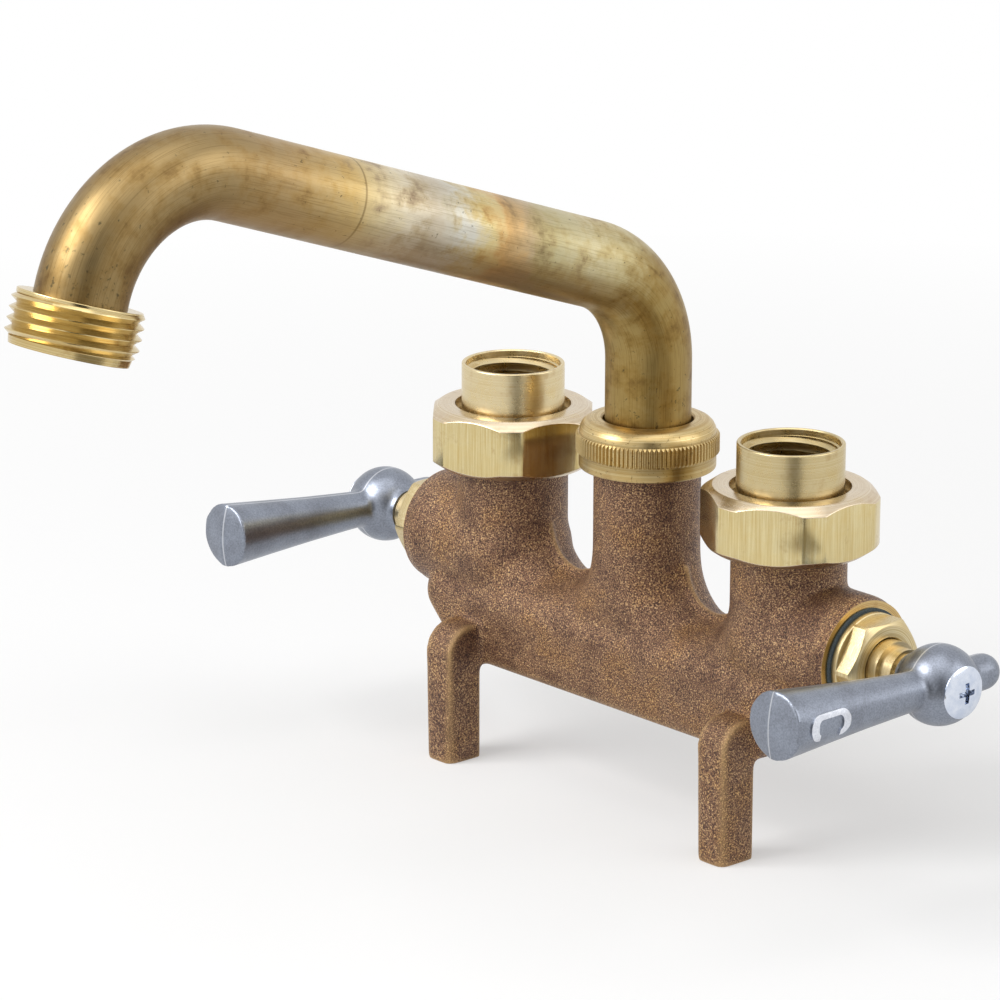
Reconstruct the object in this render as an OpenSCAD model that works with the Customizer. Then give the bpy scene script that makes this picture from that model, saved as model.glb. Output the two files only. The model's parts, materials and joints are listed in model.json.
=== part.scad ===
// Utility sink faucet, in millimetres: a cast body with two union inlets, two quarter-turn lever
// valves and a swinging tube spout that ends in a hose thread.
// +X points to the cold valve, -Y to the user and +Z up. The origin lies on the flat underside
// of the casting, straight below the spout's axis.

/* [Body casting] */
// Distance between the two inlet axes
inlet_centres = 88.9; // [84:0.1:110]
// Diameter of the inlet towers
inlet_tower_d = 25.2; // [24:0.1:28]
// Diameter of the spout tower
spout_tower_d = 23.8; // [23.4:0.1:25]
// Depth of the manifold, front to back
manifold_depth = 27; // [26:0.5:34]
// Height of the manifold
manifold_h = 22; // [20:0.5:26]
// Rounding of the manifold's lower edges
manifold_foot_r = 2.5; // [1:0.5:4]
// Rounding of the manifold's upper edges
manifold_shoulder_r = 9; // [4:0.5:10]
// Rounding of the manifold's ends, seen from above
manifold_corner_r = 4; // [2:0.5:8]
// How far the manifold's underside reaches past an inlet axis
manifold_foot_reach = 5; // [4.5:0.1:8]
// How far the manifold's ends reach past the axis where their slope bends
manifold_bend_reach = 11.5; // [9:0.1:13]
// Height of that bend
manifold_bend_z = 8; // [5:0.5:10]
// How far the manifold reaches past the axis inside the valve chamber
manifold_top_reach = 17; // [14:0.1:20]
// Height of the round saddles between the towers
saddle_h = 23.5; // [22.5:0.5:28]
// Diameter of the casting where it bends through a saddle
saddle_d = 23; // [20:0.1:23.2]
// Diameter of the water passage along the manifold
manifold_bore_d = 13; // [9:0.5:14]
// How far that passage lies below the manifold's middle
manifold_bore_drop = 0.5; // [0:0.1:1]
// Diameter of the passage that drops from each valve seat
drop_bore_d = 8; // [6:0.5:9]
// Height of the valve axis above the underside
valve_axis_z = 25; // [24:0.5:29]
// Outside diameter of the valve chambers
chamber_d = 26.5; // [25.5:0.1:30]
// From an inlet axis out to the machined end of its valve chamber
chamber_reach = 23.2; // [22:0.1:30]
// From an inlet axis in to the floor of its valve chamber
chamber_floor_inset = 4; // [3:0.1:5]
// Bore of the valve chambers
chamber_bore_d = 18; // [17.6:0.1:19]

/* [Legs] */
// Width of a leg, side to side
leg_w = 8; // [6:0.1:12]
// Depth of a leg, front to back
leg_d = 9.1; // [7:0.1:14]
// How far a leg hangs below the underside
leg_drop = 21.8; // [12:0.1:40]
// Height of a leg's shoulder above the underside
leg_shoulder_z = 10.2; // [8:0.1:14]
// Rounding of a leg's shoulder
leg_shoulder_r = 6.5; // [2:0.1:7]
// Rounding of a leg's upright edges
leg_edge_r = 1.8; // [0.5:0.1:2.5]

/* [Inlet unions] */
// Height of the inlet towers' machined tops
inlet_top_z = 52.1; // [50:0.1:60]
// Bore of the inlet towers
inlet_bore_d = 16; // [12:0.1:18]
// Thickness of the floor between an inlet's bore and its valve chamber
inlet_floor_t = 4; // [2:0.1:6]
// Diameter of the port from an inlet tower into its valve chamber
inlet_port_d = 9; // [6:0.1:10]
// Outside diameter of the union thread
union_thread_d = 31.2; // [30:0.1:33]
// Pitch of the union thread
union_pitch = 1.5; // [1:0.1:1.6]
// Height of the union thread's ridges
union_thread_depth = 0.8; // [0.5:0.05:1]
// Turns of the union thread
union_turns = 4; // [3:1:4]
// Union nut, across its flats
union_nut_af = 35.8; // [34:0.1:40]
// Union nut, over its turned corners
union_nut_corner_d = 38.7; // [36.5:0.1:42]
// Diameter of the union nut's flat end faces
union_nut_face_d = 33.6; // [32:0.1:35]
// Height of the union nut
union_nut_h = 13.8; // [12:0.1:16]
// Thickness of the union nut's inward lip
union_lip_t = 2.6; // [1.5:0.1:4]
// Hole through the lip of the union nut
union_hole_d = 26.3; // [24:0.1:27]
// Turn of the hot union nut about its axis
hot_nut_turn = 43; // [0:1:60]
// Turn of the cold union nut about its axis
cold_nut_turn = 31; // [0:1:60]
// Thickness of the union washer
union_washer_t = 1.6; // [1:0.1:3]
// Hole in the union washer
union_washer_hole_d = 17; // [16:0.1:22]
// Outside diameter of the tailpiece
tailpiece_d = 23.3; // [22.6:0.05:23.6]
// How far the tailpiece stands above its nut
tailpiece_stand = 9.5; // [8:0.1:20]
// Thickness of the tailpiece's flange
tailpiece_flange_t = 2.4; // [1.6:0.1:4]
// Bore at the foot of the tailpiece
tailpiece_bore_d = 16; // [12:0.1:17.5]
// Major diameter of the pipe thread in the tailpiece
inlet_thread_d = 21.2; // [20.8:0.05:21.4]
// Pitch of the pipe thread in the tailpiece
inlet_pitch = 1.814; // [1.5:0.001:1.85]
// Height of the pipe thread's ridges
inlet_thread_depth = 1.45; // [1:0.05:1.6]
// Turns of the pipe thread
inlet_turns = 5; // [3:1:5]
// Depth of the plain recess at the tailpiece's mouth
mouth_recess_h = 1.5; // [0.5:0.1:2]
// Diameter of the plain recess at the tailpiece's mouth
mouth_recess_d = 21.4; // [21:0.05:22]

/* [Spout joint] */
// Height of the spout tower's machined top
spout_top_z = 59.4; // [56:0.1:66]
// Outside diameter of the spout tower's thread
spout_thread_d = 26; // [25.6:0.1:27]
// Pitch of the spout tower's thread
spout_pitch = 1.4; // [1:0.1:1.5]
// Height of that thread's ridges
spout_thread_depth = 0.7; // [0.4:0.05:0.8]
// Turns of that thread
spout_turns = 3; // [2:1:3]
// Spout nut, over the knurl
spout_nut_d = 31.7; // [31:0.1:36]
// Spout nut, over its plain lower band
spout_nut_band_d = 30.3; // [29.5:0.1:30.6]
// Height of the spout nut
spout_nut_h = 11.1; // [10:0.1:13]
// Height of the plain lower band
spout_nut_band_h = 3.3; // [2:0.1:4]
// Height of the knurled band
knurl_h = 4.6; // [3:0.1:5]
// Number of teeth in the knurl
knurl_teeth = 98; // [60:1:120]
// Depth of the knurl
knurl_depth = 0.45; // [0.2:0.05:0.5]
// Rounding of the spout nut's shoulder
spout_nut_dome_r = 3.2; // [1.5:0.1:3.2]
// Thickness of the spout nut's inward lip
spout_lip_t = 2.2; // [1.5:0.1:3]
// Hole through the lip of the spout nut
spout_hole_d = 19.9; // [19.7:0.1:21]
// Outside diameter of the spout collar
collar_d = 20.6; // [20.2:0.05:20.8]
// Diameter of the spout collar's flange
collar_flange_d = 23.8; // [22.6:0.1:24]
// Thickness of the spout collar's flange
collar_flange_t = 1.75; // [1.2:0.05:3]
// Length of the spout collar below its flange
collar_len = 15.4; // [13:0.1:18]
// Room left under the spout collar in its socket
collar_room = 2; // [1:0.1:4]
// Bore at the foot of the spout collar
collar_bore_d = 13.6; // [10:0.1:14]
// Length of the collar's foot, below the end of the tube
collar_foot_h = 6; // [5:0.1:7]
// Section diameter of the spout O-ring
spout_o_ring_w = 1.8; // [1.4:0.1:2]
// Thickness of the slip ring under the spout nut
slip_ring_t = 1.1; // [0.6:0.05:2]

/* [Spout] */
// Outside diameter of the spout tube
tube_d = 19.05; // [18.5:0.05:19.2]
// Wall of the spout tube
tube_wall = 1; // [0.6:0.1:1.6]
// How much bending draws the tube's wall thinner, on each of its faces
bend_thinning = 0.1; // [0.05:0.05:0.15]
// Height at which the riser starts to bend
riser_top_z = 77.6; // [72:0.1:110]
// Centreline radius of the bend over the riser
riser_bend_r = 25.6; // [20:0.1:40]
// Climb of the run, in degrees
rise_angle = 18.9; // [0:0.1:30]
// Length of the straight run
run_len = 105.3; // [60:0.1:220]
// Centreline radius of the bend over the outlet
outlet_bend_r = 28.6; // [20:0.1:40]
// Turn of the bend over the outlet, in degrees
outlet_turn = 91.8; // [70:0.1:110]
// Straight tube between that bend and the hose outlet
outlet_stub = 1.2; // [0.5:0.1:20]

/* [Hose outlet] */
// Outside diameter of the hose thread
hose_thread_d = 26.98; // [26.4:0.01:27.4]
// Pitch of the hose thread
hose_pitch = 2.209; // [2:0.001:2.4]
// Height of the hose thread's ridges
hose_thread_depth = 1.35; // [0.8:0.05:1.5]
// Turns of the hose thread
hose_turns = 5; // [4:1:7]
// Bore at the mouth of the hose outlet
hose_bore_d = 16.5; // [12:0.1:17]
// How far the tube goes into the hose outlet
tube_socket = 7; // [4:0.1:8]

/* [Valve bonnets] */
// Outside diameter of the bonnet's thread
bonnet_thread_d = 19.6; // [19.4:0.1:20.4]
// Pitch of the bonnet's thread
bonnet_pitch = 1.25; // [1:0.05:1.3]
// Height of that thread's ridges
bonnet_thread_depth = 0.6; // [0.3:0.05:0.65]
// Turns of that thread
bonnet_turns = 6; // [4:1:6]
// Plain length between the chamber's end and the thread
bonnet_lead_in = 1; // [0.5:0.1:1.5]
// Diameter of the bonnet gasket
gasket_d = 22.8; // [22.4:0.1:25]
// Thickness of the bonnet gasket
gasket_t = 0.5; // [0.4:0.1:1.5]
// Diameter of the bonnet's flange
bonnet_flange_d = 21.6; // [21.2:0.1:24]
// Thickness of the bonnet's flange
bonnet_flange_t = 1.6; // [0.8:0.1:3]
// Bonnet hexagon, across its flats
bonnet_af = 19.05; // [17:0.05:20]
// Length of the bonnet's hexagon
bonnet_hex_len = 4.4; // [3:0.1:8]
// Rounding cut on the hexagon's outer corners
bonnet_chamfer = 1; // [0.2:0.1:1.2]
// Diameter of the bonnet's inner sleeve
sleeve_d = 17; // [16.8:0.05:17.2]
// Bore of the bonnet's inner sleeve
sleeve_bore_d = 15.2; // [14.8:0.1:15.6]
// Length of the bonnet inside the chamber
sleeve_len = 17.6; // [15:0.1:18]
// Depth of the bonnet's thrust shoulder inside the chamber's end
shoulder_depth = 4.25; // [3:0.05:5]

/* [Valve works] */
// Diameter of the pressed-in valve seat
seat_d = 13; // [11:0.1:14]
// Depth of the valve seat's socket
seat_depth = 3.5; // [2.5:0.1:4]
// Diameter of the valve seat's rim
seat_rim_d = 10.4; // [9.6:0.1:10.8]
// How far the rim stands out of the chamber's floor
seat_rim_h = 1; // [0.6:0.1:1.2]
// Bore of the valve seat
seat_bore_d = 8; // [6.5:0.1:8.4]
// Diameter of the spindle where it turns in the bonnet
spindle_d = 12.4; // [11:0.1:12.6]
// How far the spindle's shoulder stands out of the bonnet
spindle_stand = 2.5; // [1:0.1:3]
// Diameter of the spindle's neck
spindle_neck_d = 10.4; // [9:0.1:10.8]
// Length of the spindle's neck
spindle_neck_len = 3.2; // [2:0.1:3.4]
// Thickness of the spindle's collar
spindle_collar_t = 2; // [1.2:0.1:2.4]
// Thickness of the thrust washer
thrust_washer_t = 0.8; // [0.5:0.1:1.2]
// Section diameter of the spindle O-ring
spindle_o_ring_w = 1.7; // [1.2:0.1:1.8]
// Crest diameter of the spindle's four-start screw
screw_d = 8.4; // [7.6:0.1:9]
// Root diameter of that screw
screw_root_d = 6.6; // [6:0.1:7]
// Length of that screw
screw_len = 9.5; // [8:0.1:10]
// Stroke of the plunger in a quarter turn
plunger_stroke = 3; // [2:0.1:3.2]
// Width of the plunger's two lugs
lug_w = 3.4; // [2.4:0.1:4]
// Length of the plunger's two lugs
lug_len = 3.4; // [2:0.1:4]
// Diameter of the seat washer
seat_washer_d = 12; // [11:0.1:12.4]
// Thickness of the seat washer
seat_washer_t = 3; // [2:0.1:3.4]
// How far the plunger's rim reaches over the seat washer
washer_cup_h = 1.5; // [0.5:0.1:1.6]
// Diameter of the washer screw
washer_screw_d = 3; // [2:0.1:3.4]
// Diameter of the washer screw's head
washer_screw_head_d = 5.4; // [4:0.1:6]
// Height of the washer screw's head
washer_screw_head_h = 1.4; // [0.8:0.1:2]
// Depth of the washer screw in the plunger
washer_screw_grip = 2.1; // [1:0.1:2.2]

/* [Handles] */
// From the bonnet's end face to the centre of the handle's hub
hub_offset = 14.4; // [13.5:0.1:17]
// Diameter of the hub's ball
hub_d = 17.6; // [16:0.1:20]
// From the hub's centre to its flat outer face
hub_flat = 6.8; // [6.2:0.1:7.4]
// Diameter of the hub's inner boss
hub_boss_d = 10; // [9.6:0.1:12.5]
// From the hub's centre to the end of the inner boss
hub_boss_reach = 7.6; // [7.2:0.1:7.8]
// From the hub's centre to the end of the lever
lever_len = 49.3; // [35:0.1:80]
// Diameter of the lever at the hub
lever_neck_d = 7.6; // [6:0.1:10]
// Diameter of the lever at its end
lever_end_d = 14.9; // [11:0.1:18]
// Rounding of the lever's end
lever_end_r = 0.8; // [0.3:0.1:2]
// Upward tilt of the lever, in degrees
lever_tilt = 2; // [0:0.5:5]
// Diameter of the handle's short tail
tail_d = 8; // [6:0.1:9]
// From the hub's centre to the end of the tail
tail_len = 17; // [13:0.1:20]
// Square drive on the spindle, across its flats
drive_af = 6; // [5:0.1:6.4]
// Diameter of the handle screw
handle_screw_d = 4; // [3:0.1:4.4]
// Length of the handle screw under its head
handle_screw_len = 10.5; // [8:0.1:12]
// Diameter of the handle screw's head
handle_screw_head_d = 11.3; // [9:0.1:12]
// Height of the handle screw's head
handle_screw_head_h = 2.2; // [1.4:0.1:3]

/* [Clearances] */
// Between mating threads, on the radius
thread_gap = 0.12; // [0.05:0.01:0.2]
// Between a shaft and the bore that it turns in, on the radius
running_gap = 0.08; // [0.04:0.01:0.12]
// Between end faces that rub or press
face_gap = 0.05; // [0.02:0.01:0.1]
// Between sliding and turning valve parts, on the radius
valve_gap = 0.3; // [0.2:0.05:0.35]
// Around soldered and pressed joints, on the radius
joint_gap = 0.04; // [0.02:0.01:0.08]

/* [Hidden] */
$fn = 96;

// Length by which a cutting shape passes the face that it opens
through = 1;

// Stations along X, for the cold side
inlet_x = inlet_centres / 2;
inlet_r = inlet_tower_d / 2;
chamber_end_x = inlet_x + chamber_reach;
chamber_floor_x = inlet_x - chamber_floor_inset;
seat_back_x = chamber_floor_x - seat_depth;
seat_rim_x = chamber_floor_x + seat_rim_h;
bonnet_face_x = chamber_end_x + gasket_t;
hex_start_x = bonnet_face_x + bonnet_flange_t;
bonnet_end_x = hex_start_x + bonnet_hex_len;
shoulder_x = chamber_end_x - shoulder_depth;
sleeve_end_x = chamber_end_x - sleeve_len;
collar_out_x = shoulder_x - thrust_washer_t - face_gap;
collar_in_x = collar_out_x - spindle_collar_t;
screw_tip_x = collar_in_x - screw_len;
washer_front_x = seat_rim_x + face_gap;
plunger_head_x = washer_front_x + seat_washer_t;
plunger_end_x = collar_in_x - plunger_stroke - valve_gap;
plunger_hole_x = screw_tip_x - plunger_stroke - valve_gap;
spindle_shoulder_x = bonnet_end_x + spindle_stand;
spindle_neck_x = spindle_shoulder_x + spindle_neck_len;
hub_x = bonnet_end_x + hub_offset;
hub_face_x = hub_x + hub_flat;
hub_boss_x = hub_x - hub_boss_reach;
drive_end_x = hub_x + hub_flat / 2;
screw_end_x = hub_face_x - handle_screw_len;
spindle_o_ring_x = (chamber_end_x + hex_start_x) / 2;
drop_x = seat_back_x - drop_bore_d / 3;

// Radii of the valve works
spindle_bore_r = spindle_d / 2 + valve_gap / 2;
collar_r = sleeve_bore_d / 2 - valve_gap;
plunger_r = sleeve_bore_d / 2 - valve_gap;
lug_r = sleeve_d / 2 - joint_gap;
bonnet_thread_r = bonnet_thread_d / 2;
screw_lead = 4 * plunger_stroke;

// Stations along Z
saddle_bend_r = inlet_x / 2;
saddle_z = saddle_h + saddle_bend_r - saddle_d / 2;
manifold_bore_z = manifold_h / 2 - manifold_bore_drop;
union_thread_r = union_thread_d / 2;
union_minor_r = union_thread_r - union_thread_depth;
union_thread_z = inlet_top_z - union_turns * union_pitch;
tailpiece_foot_z = inlet_top_z + union_washer_t;
union_lip_z = tailpiece_foot_z + tailpiece_flange_t;
union_nut_top_z = union_lip_z + union_lip_t;
union_nut_foot_z = union_nut_top_z - union_nut_h;
tailpiece_top_z = union_nut_top_z + tailpiece_stand;
inlet_thread_top_z = tailpiece_top_z - mouth_recess_h;
inlet_thread_z = inlet_thread_top_z - inlet_turns * inlet_pitch;
inlet_floor_z = valve_axis_z + chamber_bore_d / 2 + inlet_floor_t;
flange_r = union_minor_r - valve_gap;

spout_thread_r = spout_thread_d / 2;
spout_thread_z = spout_top_z - spout_turns * spout_pitch;
collar_flange_z = spout_top_z + face_gap;
collar_top_z = collar_flange_z + collar_flange_t;
collar_foot_z = spout_top_z - collar_len;
tube_foot_z = collar_foot_z + collar_foot_h;
slip_ring_z = collar_top_z + face_gap;
spout_lip_z = slip_ring_z + slip_ring_t;
spout_nut_top_z = spout_lip_z + spout_lip_t;
spout_nut_foot_z = spout_nut_top_z - spout_nut_h;
spout_socket_z = collar_foot_z - collar_room;
spout_socket_r = collar_d / 2 + running_gap;
spout_o_ring_z = collar_foot_z + collar_foot_h / 2;

// The legs stand against the manifold's front face
leg_back_y = -manifold_depth / 2;
leg_front_y = leg_back_y - leg_d;

// The spout's centreline, in its own plane: distance ahead of the riser, and height
tube_r = tube_d / 2;
bend_lap = 0.5;
riser_turn = 90 - rise_angle;
run_start = [riser_bend_r * (1 - cos(riser_turn)), riser_top_z + riser_bend_r * sin(riser_turn)];
run_end = run_start + run_len * [cos(rise_angle), sin(rise_angle)];
outlet_bend_centre = run_end + outlet_bend_r * [sin(rise_angle), -cos(rise_angle)];
outlet_dive = outlet_turn - rise_angle;
outlet_bend_end = outlet_bend_centre + outlet_bend_r * [sin(outlet_dive), cos(outlet_dive)];
outlet_dir = [cos(outlet_dive), -sin(outlet_dive)];
hose_start = outlet_bend_end + outlet_stub * outlet_dir;
hose_len = hose_turns * hose_pitch;

bronze = "#7d5b47";
brass = "#c2a25f";
old_brass = "#9c8450";
zinc = "#9a9ca6";
plated = "#dfe3ea";
rubber = "#3f4444";
fibre = "#5d6a66";
nylon = "#e4e0d2";

// Shared shapes

// Outline of a ring thread: ridges with flat crests and roots, from z = 0 up
function thread_outline(crest_r, depth, pitch, turns) = [
    [0, 0],
    for (i = [0 : turns - 1]) each [
        [crest_r - depth, i * pitch],
        [crest_r, (i + 0.25) * pitch],
        [crest_r, (i + 0.5) * pitch],
        [crest_r - depth, (i + 0.75) * pitch]
    ],
    [crest_r - depth, turns * pitch],
    [0, turns * pitch]
];

module ring_thread(crest_r, depth, pitch, turns) {
    rotate_extrude() polygon(thread_outline(crest_r, depth, pitch, turns));
}

module upright(d, z0, z1) {
    translate([0, 0, z0]) cylinder(d = d, h = z1 - z0);
}

// A cylinder about the valve axis, between two stations along X
module barrel(d, x0, x1) {
    translate([x0, 0, valve_axis_z]) rotate([0, 90, 0]) cylinder(d = d, h = x1 - x0);
}

// A ring of round section, lying flat
module o_ring(outer_r, section_d) {
    rotate_extrude() translate([outer_r - section_d / 2, 0]) circle(d = section_d, $fn = 48);
}

module washer(outer_d, hole_d, t) {
    difference() {
        cylinder(d = outer_d, h = t);
        translate([0, 0, -through]) cylinder(d = hole_d, h = t + 2 * through);
    }
}

module on_cold_side() {
    children();
}

module on_hot_side() {
    mirror([1, 0, 0]) children();
}

// Moves a shape drawn about Z onto the valve axis, with its +Z along +X
module on_valve_axis(x) {
    translate([x, 0, valve_axis_z]) rotate([0, 90, 0]) children();
}

module on_inlet_axis() {
    translate([inlet_x, 0, 0]) children();
}

// Body casting

module manifold_outline() {
    half = manifold_depth / 2;
    translate([-half, manifold_foot_r]) {
        square([manifold_depth, manifold_h - manifold_foot_r - manifold_shoulder_r]);
    }
    translate([-half + manifold_foot_r, 0]) {
        square([manifold_depth - 2 * manifold_foot_r, manifold_h - manifold_shoulder_r]);
    }
    translate([-half + manifold_shoulder_r, manifold_h / 2]) {
        square([manifold_depth - 2 * manifold_shoulder_r, manifold_h / 2]);
    }
    for (side = [-1, 1]) {
        translate([side * (half - manifold_foot_r), manifold_foot_r]) circle(manifold_foot_r);
        translate([side * (half - manifold_shoulder_r), manifold_h - manifold_shoulder_r]) {
            circle(manifold_shoulder_r);
        }
    }
}

// Half of the manifold seen from the front: its end slopes out to carry the valve chamber
module manifold_front() {
    polygon([
        [-through, -through],
        [inlet_x + manifold_foot_reach, -through],
        [inlet_x + manifold_foot_reach, 0],
        [inlet_x + manifold_bend_reach, manifold_bend_z],
        [inlet_x + manifold_top_reach + through, manifold_h + through],
        [-through, manifold_h + through],
    ]);
}

module manifold_plan() {
    end = inlet_x + manifold_top_reach;
    corner_y = manifold_depth / 2 - manifold_corner_r;
    translate([-through, -manifold_depth / 2]) {
        square([end - manifold_corner_r + through, manifold_depth]);
    }
    translate([0, -corner_y]) square([end, 2 * corner_y]);
    for (side = [-1, 1]) {
        translate([end - manifold_corner_r, side * corner_y]) circle(manifold_corner_r);
    }
}

module manifold_half() {
    intersection() {
        rotate([90, 0, 90]) translate([0, 0, -through]) {
            linear_extrude(inlet_x + manifold_top_reach + 2 * through) manifold_outline();
        }
        rotate([90, 0, 0]) linear_extrude(manifold_depth + 2 * through, center = true) manifold_front();
        translate([0, 0, -through]) linear_extrude(manifold_h + 2 * through) manifold_plan();
    }
}

// The casting bends from tower to tower like a pipe, which leaves a round saddle on each side
module saddle() {
    translate([saddle_bend_r, 0, saddle_z]) rotate([-90, 0, 0]) {
        rotate_extrude(angle = 180) translate([saddle_bend_r, 0]) circle(d = saddle_d);
    }
}

module inlet_tower() {
    on_inlet_axis() {
        upright(inlet_tower_d, manifold_h / 2, union_thread_z);
        translate([0, 0, union_thread_z - union_pitch]) {
            cylinder(r1 = inlet_r, r2 = union_minor_r, h = union_pitch);
        }
        translate([0, 0, union_thread_z]) {
            ring_thread(union_thread_r, union_thread_depth, union_pitch, union_turns);
        }
    }
    barrel(chamber_d, inlet_x, chamber_end_x);
}

module spout_tower() {
    upright(spout_tower_d, manifold_h / 2, spout_thread_z);
    translate([0, 0, spout_thread_z]) {
        ring_thread(spout_thread_r, spout_thread_depth, spout_pitch, spout_turns);
    }
}

// A leg seen from the side: its shoulder turns out of the manifold's front face
module leg_side() {
    translate([leg_front_y, -leg_drop]) {
        square([leg_d, leg_drop + leg_shoulder_z - leg_shoulder_r]);
    }
    translate([leg_front_y + leg_shoulder_r, 0]) {
        square([leg_d + manifold_depth / 4 - leg_shoulder_r, leg_shoulder_z]);
    }
    translate([leg_front_y + leg_shoulder_r, leg_shoulder_z - leg_shoulder_r]) circle(leg_shoulder_r);
}

module leg_plan() {
    depth = leg_d + manifold_depth / 4;
    translate([-leg_w / 2 + leg_edge_r, leg_front_y]) square([leg_w - 2 * leg_edge_r, depth]);
    translate([-leg_w / 2, leg_front_y + leg_edge_r]) square([leg_w, depth - leg_edge_r]);
    for (side = [-1, 1]) {
        translate([side * (leg_w / 2 - leg_edge_r), leg_front_y + leg_edge_r]) circle(leg_edge_r);
    }
}

module leg() {
    intersection() {
        rotate([90, 0, 90]) linear_extrude(leg_w, center = true) leg_side();
        translate([0, 0, -leg_drop]) linear_extrude(leg_drop + leg_shoulder_z) leg_plan();
    }
}

// Everything that is bored out of one side: inlet, valve chamber, seat socket and drop
module side_passages() {
    on_inlet_axis() upright(inlet_bore_d, inlet_floor_z, inlet_top_z + through);
    translate([chamber_floor_x + inlet_port_d / 2 + seat_rim_h, 0, 0]) {
        upright(inlet_port_d, valve_axis_z, inlet_floor_z + through);
    }
    barrel(chamber_bore_d, chamber_floor_x, chamber_end_x + through);
    on_valve_axis(chamber_end_x - bonnet_lead_in - bonnet_turns * bonnet_pitch) {
        ring_thread(bonnet_thread_r + thread_gap, bonnet_thread_depth, bonnet_pitch, bonnet_turns);
    }
    barrel(bonnet_thread_d + 2 * thread_gap, chamber_end_x - bonnet_lead_in, chamber_end_x + through);
    barrel(seat_d + 2 * joint_gap, seat_back_x, chamber_floor_x + through);
    barrel(drop_bore_d, drop_x, seat_back_x + through);
    translate([drop_x, 0, 0]) upright(drop_bore_d, manifold_bore_z, valve_axis_z - drop_bore_d / 8);
}

module passages() {
    on_cold_side() side_passages();
    on_hot_side() side_passages();
    translate([0, 0, manifold_bore_z]) rotate([0, 90, 0]) {
        cylinder(d = manifold_bore_d, h = 2 * drop_x + drop_bore_d, center = true);
    }
    upright(collar_bore_d, manifold_bore_z, spout_socket_z + through);
    upright(2 * spout_socket_r, spout_socket_z, spout_top_z + through);
}

module body_half() {
    manifold_half();
    saddle();
    inlet_tower();
    on_inlet_axis() leg();
}

module body() {
    color(bronze) difference() {
        union() {
            spout_tower();
            on_cold_side() body_half();
            on_hot_side() body_half();
        }
        passages();
    }
}

// Inlet unions

// A hexagon turned down at its corners and chamfered at both ends
module union_nut_blank() {
    rim = (union_nut_corner_d - union_nut_face_d) / 2;
    intersection() {
        cylinder(d = union_nut_af / cos(30), h = union_nut_h, $fn = 6);
        rotate_extrude() polygon([
            [0, 0],
            [union_nut_face_d / 2, 0],
            [union_nut_corner_d / 2, 0.7 * rim],
            [union_nut_corner_d / 2, union_nut_h - 0.7 * rim],
            [union_nut_face_d / 2, union_nut_h],
            [0, union_nut_h]
        ]);
    }
}

module union_nut(turn) {
    cavity_r = union_minor_r + thread_gap;
    color(brass) on_inlet_axis() difference() {
        translate([0, 0, union_nut_foot_z]) rotate([0, 0, turn]) union_nut_blank();
        upright(2 * (union_thread_r + thread_gap), union_nut_foot_z - through, union_thread_z);
        translate([0, 0, union_thread_z]) {
            ring_thread(union_thread_r + thread_gap, union_thread_depth, union_pitch, union_turns);
        }
        upright(2 * cavity_r, inlet_top_z - face_gap, union_lip_z);
        upright(union_hole_d, union_lip_z - through, union_nut_top_z + through);
    }
}

module tailpiece() {
    color(brass) on_inlet_axis() difference() {
        union() {
            upright(2 * flange_r, tailpiece_foot_z, union_lip_z);
            upright(tailpiece_d, tailpiece_foot_z, tailpiece_top_z);
        }
        upright(tailpiece_bore_d, tailpiece_foot_z - through, inlet_thread_z + through);
        translate([0, 0, inlet_thread_z]) {
            ring_thread(inlet_thread_d / 2, inlet_thread_depth, inlet_pitch, inlet_turns);
        }
        upright(mouth_recess_d, inlet_thread_top_z, tailpiece_top_z + through);
    }
}

module union_washer() {
    color(rubber) on_inlet_axis() translate([0, 0, inlet_top_z]) {
        washer(2 * flange_r, union_washer_hole_d, union_washer_t);
    }
}

// Valves

module valve_seat() {
    color(brass) difference() {
        union() {
            barrel(seat_d, seat_back_x, chamber_floor_x);
            barrel(seat_rim_d, chamber_floor_x, seat_rim_x);
        }
        barrel(seat_bore_d, seat_back_x - through, seat_rim_x + through);
    }
}

module bonnet_gasket() {
    color(fibre) on_valve_axis(chamber_end_x) {
        washer(gasket_d, bonnet_thread_d + 2 * thread_gap, gasket_t);
    }
}

// The hexagon, flats up and down, with its outer corners turned off
module bonnet_head() {
    corner_r = bonnet_flange_d / 2;
    intersection() {
        rotate([0, 0, 30]) cylinder(d = bonnet_af / cos(30), h = bonnet_hex_len, $fn = 6);
        rotate_extrude() polygon([
            [0, 0],
            [corner_r, 0],
            [corner_r, bonnet_hex_len - bonnet_chamfer],
            [corner_r - bonnet_chamfer, bonnet_hex_len],
            [0, bonnet_hex_len]
        ]);
    }
}

module bonnet() {
    thread_x = chamber_end_x - bonnet_lead_in - bonnet_turns * bonnet_pitch;
    slot_end_x = plunger_end_x + plunger_stroke;
    color(brass) difference() {
        union() {
            barrel(sleeve_d, sleeve_end_x, thread_x);
            on_valve_axis(thread_x) {
                ring_thread(bonnet_thread_r, bonnet_thread_depth, bonnet_pitch, bonnet_turns);
            }
            barrel(bonnet_thread_d, chamber_end_x - bonnet_lead_in, bonnet_face_x);
            barrel(bonnet_flange_d, bonnet_face_x, hex_start_x);
            on_valve_axis(hex_start_x) bonnet_head();
        }
        barrel(sleeve_bore_d, sleeve_end_x - through, shoulder_x);
        barrel(2 * spindle_bore_r, shoulder_x - through, bonnet_end_x + through);
        translate([sleeve_end_x - through, -lug_w / 2 - valve_gap, valve_axis_z - sleeve_d]) {
            cube([slot_end_x - sleeve_end_x + through, lug_w + 2 * valve_gap, 2 * sleeve_d]);
        }
    }
}

module thrust_washer() {
    color(nylon) on_valve_axis(shoulder_x - thrust_washer_t) {
        washer(2 * collar_r, 2 * spindle_bore_r, thrust_washer_t);
    }
}

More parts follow.
